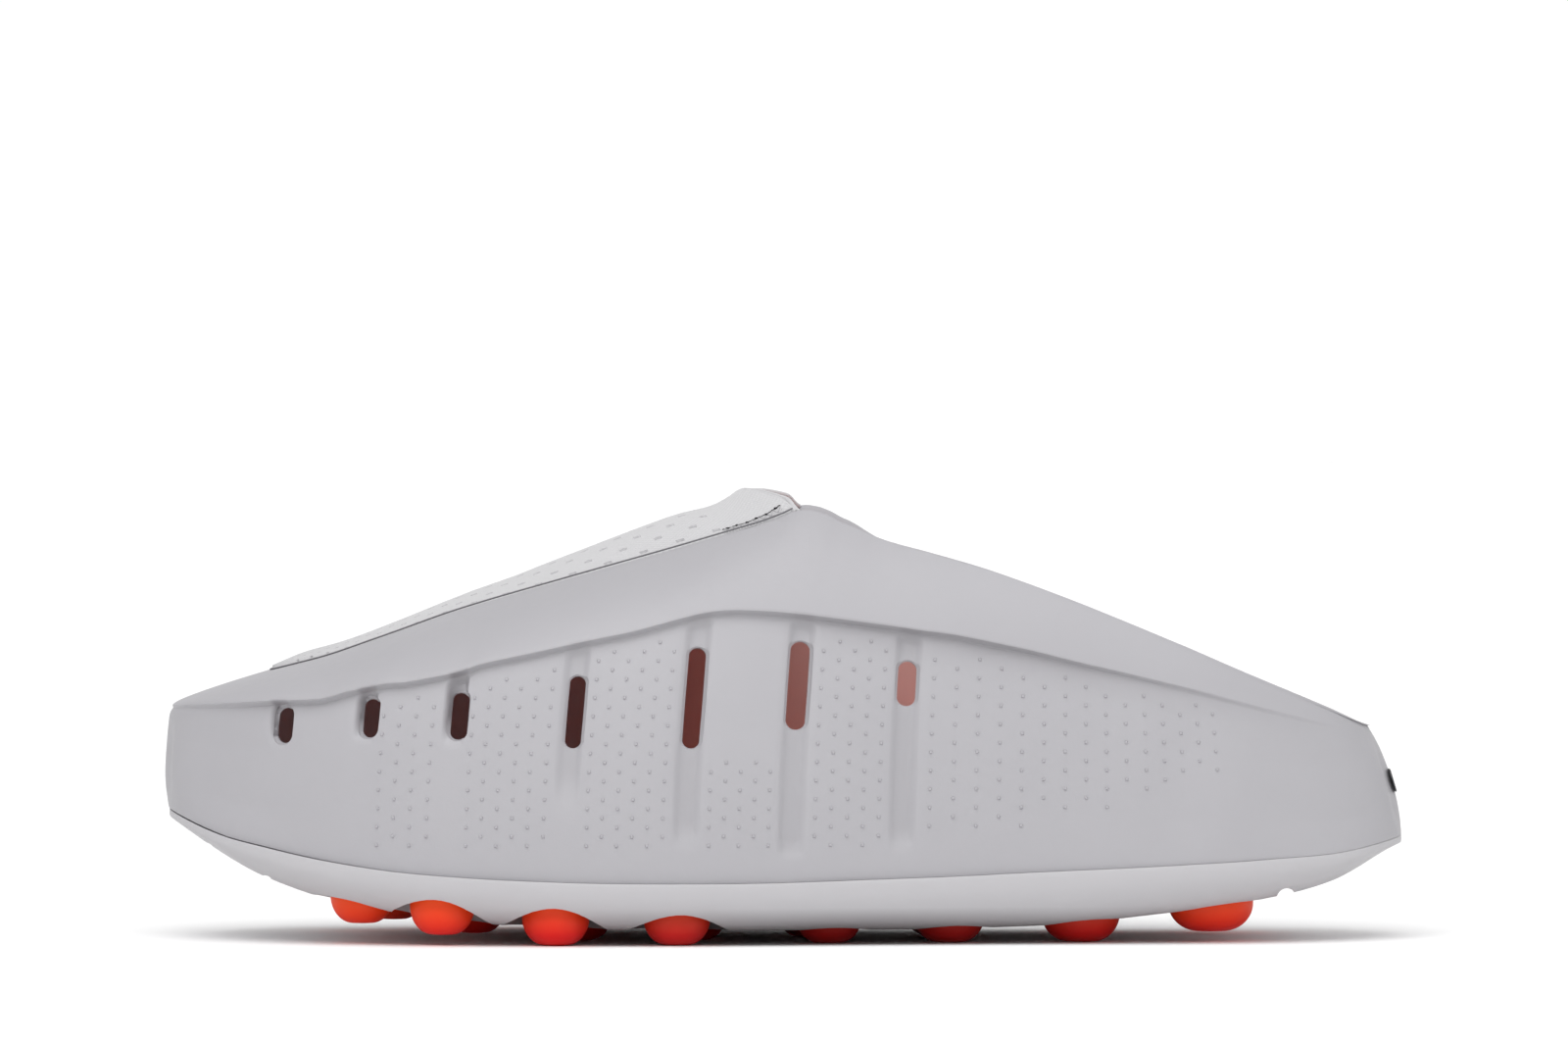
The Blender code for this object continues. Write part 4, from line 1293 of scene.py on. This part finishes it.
# The rolled binding along the vamp's rear edge
binding = {
    "rolls": ((0.00075, 0.00115), (0.00062, 0.00290)),  # radius, and how far behind the vamp's edge
    "lift": 0.8,  # the share of the vamp's puff that it rises by
    "backFrom": 0.94,  # behind is the way from this share of the vamp to its edge, nearly level
    "backRise": 0.15,
    "endDrop": 0.0012,
    "endPull": 0.5,
    "endReach": 0.14,
    "endTaper": 0.4,
    "flat": 1.1,
    "sides": 18,
    "steps": 56,
    "uvSize": (0.008, 0.070),
    "stitch": (0.0008, 0.0009),
}


def pipeUv(piece, columns, rows):
    uv = piece.data.uv_layers.new(name="wrap")
    for face in piece.data.polygons:
        middle = pipePlace(face.center, columns)[0]
        for loop in face.loop_indices:
            column, row = pipePlace(piece.data.vertices[piece.data.loops[loop].vertex_index].co, columns)
            if column - middle > columns / 2:
                column -= columns
            if middle - column > columns / 2:
                column += columns
            uv.data[loop].uv = (column / columns, row / (rows - 1))


def tubeAlong(name, path, radius, sides, flat=1.0, taper=0.0):
    # a closed tube along a path, pinched shut at both ends
    path = [path[0]] + path + [path[-1]]
    last = len(path) - 1
    piece = pipe(name, sides, len(path))
    pipeUv(piece, sides, len(path))
    for vertex in piece.data.vertices:
        column, row = pipePlace(vertex.co, sides)
        row = round(row)
        run = (path[min(row + 1, last)] - path[max(row - 1, 0)]).normalized()
        up = (Vector((0, 0, 1)) - run * run.z).normalized()
        turn = 2 * math.pi * column / sides
        out = run.cross(up) * math.cos(turn) + up * math.sin(turn) * flat
        thickness = radius * min(1.0, 1 - taper + 0.12 * min(row, last - row))
        vertex.co = path[row] + out * (1e-7 if row in (0, last) else thickness)
    finishMesh(piece, 60)
    return piece


def makeRoll(radius, behind):
    path = []
    count = binding["steps"]
    for i in range(count + 1):
        across = i / count
        upper, lower = vampPoint(1.0, across), vampPoint(1.0, across, vamp["thickness"])
        back = upper - vampPoint(binding["backFrom"], across)
        back.z *= binding["backRise"]
        ends = 1 - ease(min(i, count - i) / (count * binding["endReach"]))
        middle = upper.lerp(lower, radius / vamp["thickness"] * binding["flat"])
        behindHere = back.normalized() * behind * (1 - binding["endPull"] * ends)
        rise = vamp["puff"] * binding["lift"] - binding["endDrop"] * ends
        path.append(middle + behindHere + Vector((0, 0, rise)))
    return tubeAlong("throatRoll", path, radius, binding["sides"], binding["flat"], binding["endTaper"])


def makeBinding():
    piece = joinAll([makeRoll(*sizes) for sizes in binding["rolls"]])
    bindingKnit = knitMaterial("bindingKnit", {**vamp, **binding}, 0.0001, 0.35)
    dress(piece, "vamp_textile", bindingKnit, "throat_binding")
    print("binding made")


makeBinding()

# The dark line between the vamp and the shell: a thread there, whose dark colour also paints the shade of the groove
seamLine = {
    "radius": 0.00020,
    "steps": 190,
    "sides": 8,
    "rise": 0.00016,
    "off": 0.00030,
    "pastThroat": 0.012,  # radians
    "colour": (0.150, 0.146, 0.158),
    "roughness": (0.65, 0.90),
    "noises": (1500.0, 3000.0),
    "bump": (0.00005, 0.6),
}


def makeSeamLine():
    path = []
    end = throatAngle() + seamLine["pastThroat"]
    for i in range(seamLine["steps"] + 1):
        angle = end + (2 * math.pi - 2 * end) * i / seamLine["steps"]
        turn = angle if angle <= math.pi else angle - 2 * math.pi
        if abs(abs(turn) - math.pi) < 1e-6:
            turn = math.pi
        path.append(rimEdge(turn, 0.0, seamLine["off"]) + Vector((0, 0, seamLine["rise"])))
    piece = tubeAlong("vampSeamLine", path, seamLine["radius"], seamLine["sides"])
    dress(piece, "vamp_textile", grainyMaterial("seamThreadAndShade", seamLine, 0.8))
    print("seam line made")


makeSeamLine()

# The knit tape that holds the binding's ends down on the vamp, with its zigzag, near-black dots of painted shade for
# its needle holes, and a near-black line of painted shade along its raised outer edge
tape = {
    "start": 0.918,
    "end": 0.992,
    "inner": 0.0008,
    "outer": 0.0025,
    "rise": 0.00022,
    "thickness": 0.0006,
    "cells": (48, 8),
    "uvSize": (0.016, 0.002),
    "stitch": (0.0008, 0.0007),
    "light": (0.560, 0.554, 0.568),
    "dark": (0.300, 0.294, 0.306),
    "thread": 0.00012,
    "threadSides": 6,
    "threadRise": 0.4,  # shares of its radius, as the arch of each stitch is
    "arch": 0.8,
    "archSteps": 4,
    "margin": 0.03,
    "turns": 8,
    "turnsAt": (0.8, 0.2),  # shares of the tape's width, by turns, as below
    "threadColour": (0.420, 0.415, 0.430),
    "outline": 0.00013,
    "outlineSteps": 48,
    "wobbles": ((0.00012, 2.3), (0.00008, 5.1)),  # how far, and how quickly
    "holes": 6,
    "holesAt": (0.80, 0.92),
    "holeRadius": 0.00050,
    "holeFlatness": 0.55,
    # near-black, for the painted shade in the needle holes and along the tape's edge
    "shadeColour": (0.020, 0.018, 0.022),
}


def tapeOff(across):
    return tape["inner"] + (tape["outer"] - tape["inner"]) * across


def tapePoint(side, along, off, lift):
    # a place on the tape, off metres in from the vamp's edge
    share = tape["start"] + (tape["end"] - tape["start"]) * along
    across = off / (vampPoint(share, 1) - vampPoint(share, 0)).length
    return vampTop(share, across if side == 0 else 1 - across, lift)


def makeStrip(side, name):
    strip = sheetGrid(name + "Tape", *tape["cells"])
    for vertex in strip.data.vertices:
        along, across = vertex.co.x, vertex.co.y
        edge = min(across, 1 - across, along * 4, (1 - along) * 4)
        vertex.co = tapePoint(side, along, tapeOff(across), tape["rise"] * min(1.0, 4 * edge))
    finishMesh(strip, 60)
    thicken(strip, tape["thickness"])
    dress(strip, "vamp_textile", tapeKnit)


def makeZigzag(side, name):
    corners = []
    count = tape["turns"] * 2
    for i in range(count + 1):
        along, off = tape["margin"] + (1 - 2 * tape["margin"]) * i / count, tapeOff(tape["turnsAt"][i % 2])
        corners.append(tapePoint(side, along, off, tape["rise"] + tape["thread"] * tape["threadRise"]))
    path = []
    for start, end in zip(corners, corners[1:]):
        for step in range(tape["archSteps"]):
            share = step / tape["archSteps"]
            arch = tape["thread"] * tape["arch"] * math.sin(math.pi * share)
            path.append(start.lerp(end, share) + Vector((0, 0, arch)))
    path.append(corners[-1])
    zigzag = tubeAlong(name + "Stitch", path, tape["thread"], tape["threadSides"])
    dress(zigzag, "vamp_textile", tapeThread)


def makeOutline(side, name):
    # a near-black cord along the tape's outer edge: painted shade where the raised tape meets the vamp
    path = []
    for i in range(tape["outlineSteps"] + 1):
        wobble = sum(size * math.sin(i * pace) for size, pace in tape["wobbles"])
        path.append(tapePoint(side, i / tape["outlineSteps"], tape["outer"] + wobble, tape["rise"] * 0.5))
    outline = tubeAlong(name + "Outline", path, tape["outline"], tape["threadSides"])
    dress(outline, "vamp_textile", tapeShade)


def makeNeedleHoles(side, name):
    # near-black flattened dots: painted shade for the needle holes, which are not cut
    holes = []
    for i in range(tape["holes"]):
        place = tapePoint(side, (i + 0.5) / tape["holes"], tapeOff(tape["holesAt"][i % 2]), tape["rise"])
        holes.append(added(
            bpy.ops.mesh.primitive_ico_sphere_add, subdivisions=2, radius=tape["holeRadius"], location=place))
        bpy.ops.transform.resize(value=(1.0, 1.0, tape["holeFlatness"]), center_override=tuple(place))
        bpy.ops.object.transform_apply()
    needleHoles = joinAll(holes)
    needleHoles.name = name + "NeedleHoles"
    finishMesh(needleHoles, 60)
    dress(needleHoles, "vamp_textile", tapeShade)


tapeKnit = knitMaterial("tapeKnit", tape, 0.00025, 0.2)
tapeThread = newMaterial("paleThread", tape["threadColour"], 0.75)[0]
tapeShade = newMaterial("holeAndEdgeShade", tape["shadeColour"], 0.9)[0]
for side, name in enumerate(("outer", "inner")):
    for make in (makeStrip, makeZigzag, makeOutline, makeNeedleHoles):
        make(side, name)
print("tapes made")

# The plain pill on the heel
pill = {
    "ends": 40,
    "shrink": 0.0003,  # how far it stays inside the solid's outline
    # its profile: how far in from its outline, and how far out from the heel
    "profile": ((0.0, 0.0001), (0.0, 0.0002), (0.00009, 0.00041), (0.0003, 0.0005), (0.00048, 0.0005)),
    "colour": (0.030, 0.030, 0.034),
    "roughness": (0.34, 0.50),
    "noises": (900.0, 2400.0),
    "bump": (0.00003, 0.4),
}


def makePill():
    low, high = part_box("heel_badge")
    width, height, middle = high[1] - low[1], high[2] - low[2], (low[2] + high[2]) / 2
    radius = height / 2 - pill["shrink"]
    parting, ledge = wallSpan(0.0)
    piece = pipe("heelPill", pill["ends"], len(pill["profile"]))
    for vertex in piece.data.vertices:
        inset, out = pill["profile"][round(vertex.co.z)]
        flat = Vector((vertex.co.x, vertex.co.y)).normalized()
        across = flat.x * (radius - inset)
        across += (width / 2 - radius) * (1 if flat.x > 1e-6 else -1 if flat.x < -1e-6 else 0)
        up = middle + flat.y * (radius - inset)
        level = (up - parting) / (ledge - parting)
        vertex.co = wallPoint(across * anglePerMetre(0.0), level, wallDepth(0.0, up) - out)
    closeEnds(piece)
    finishMesh(piece, 35)
    dress(piece, "badge_rubber", grainyMaterial("pillRubber", pill, 0.4), "heel_badge")
    print("pill made")


makePill()

# Stage, lights and camera
stageLook = {
    "floorSize": 12.0,
    "floorColour": (0.985, 0.985, 0.985),
    "surround": 0.69,
    "behind": 1.02,  # the paper behind the shoe, and where it begins and is full
    "behindBetween": (0.80, 0.94),
}
suns = {  # degrees, W/m2
    "bigSoftbox": {"turn": -14.0, "height": 57.0, "strength": 1.45, "softness": 50.0},
    "heelSoftbox": {"turn": 84.0, "height": 16.0, "strength": 0.30, "softness": 50.0},
}
nearBox = {"place": (-0.05, -0.60, 0.42), "aim": (-0.01, 0.0, 0.05), "size": (0.36, 0.20), "power": 0.70}
view = {"aim": (0.0, 0.0, 0.1007), "distance": 4.2, "elevation": 1.3, "frameWidth": 0.381, "sensor": 36.0}


def pointAlong(thing, direction):
    thing.rotation_euler = direction.to_track_quat("-Z", "Y").to_euler()


def makeStage():
    floor = added(bpy.ops.mesh.primitive_plane_add, "floor", size=stageLook["floorSize"], location=(0, 0, 0))
    floor.data.materials.append(newMaterial("palePaper", stageLook["floorColour"], 0.9)[0])
    world = bpy.data.worlds.new("paleSurround")
    world.use_nodes = True
    tree = world.node_tree
    axes = splitVector(tree, placesIn(tree, "Generated"))
    strength = carry(tree, axes["Y"], *stageLook["behindBetween"], stageLook["surround"], stageLook["behind"])
    feed(tree, tree.nodes["Background"], {"Color": (1, 1, 1, 1), "Strength": strength})
    bpy.context.scene.world = world


def makeLights():
    for name, sun in suns.items():
        turn, height = math.radians(sun["turn"]), math.radians(sun["height"])
        toLight = Vector((math.sin(turn) * math.cos(height), -math.cos(turn) * math.cos(height), math.sin(height)))
        lamp = added(bpy.ops.object.light_add, name, type="SUN", location=toLight * 3)
        lamp.data.energy = sun["strength"]
        lamp.data.angle = math.radians(sun["softness"])
        pointAlong(lamp, -toLight)
    lamp = added(bpy.ops.object.light_add, "nearSoftbox", type="AREA", location=nearBox["place"])
    lamp.data.shape = "RECTANGLE"
    lamp.data.size, lamp.data.size_y = nearBox["size"]
    lamp.data.energy = nearBox["power"]
    pointAlong(lamp, Vector(nearBox["aim"]) - Vector(nearBox["place"]))
    lamp.visible_camera = False


def makeCamera():
    tilt = math.radians(view["elevation"])
    aim = Vector(view["aim"])
    place = aim + Vector((0, -math.cos(tilt), math.sin(tilt))) * view["distance"]
    camera = added(bpy.ops.object.camera_add, "photoView", location=place)
    pointAlong(camera, aim - place)
    camera.data.sensor_width = view["sensor"]
    camera.data.lens = view["sensor"] * view["distance"] / view["frameWidth"]
    bpy.context.scene.camera = camera


makeStage()
makeLights()
makeCamera()
bpy.context.scene.view_settings.view_transform = "Standard"
print("stage, lights and camera set")
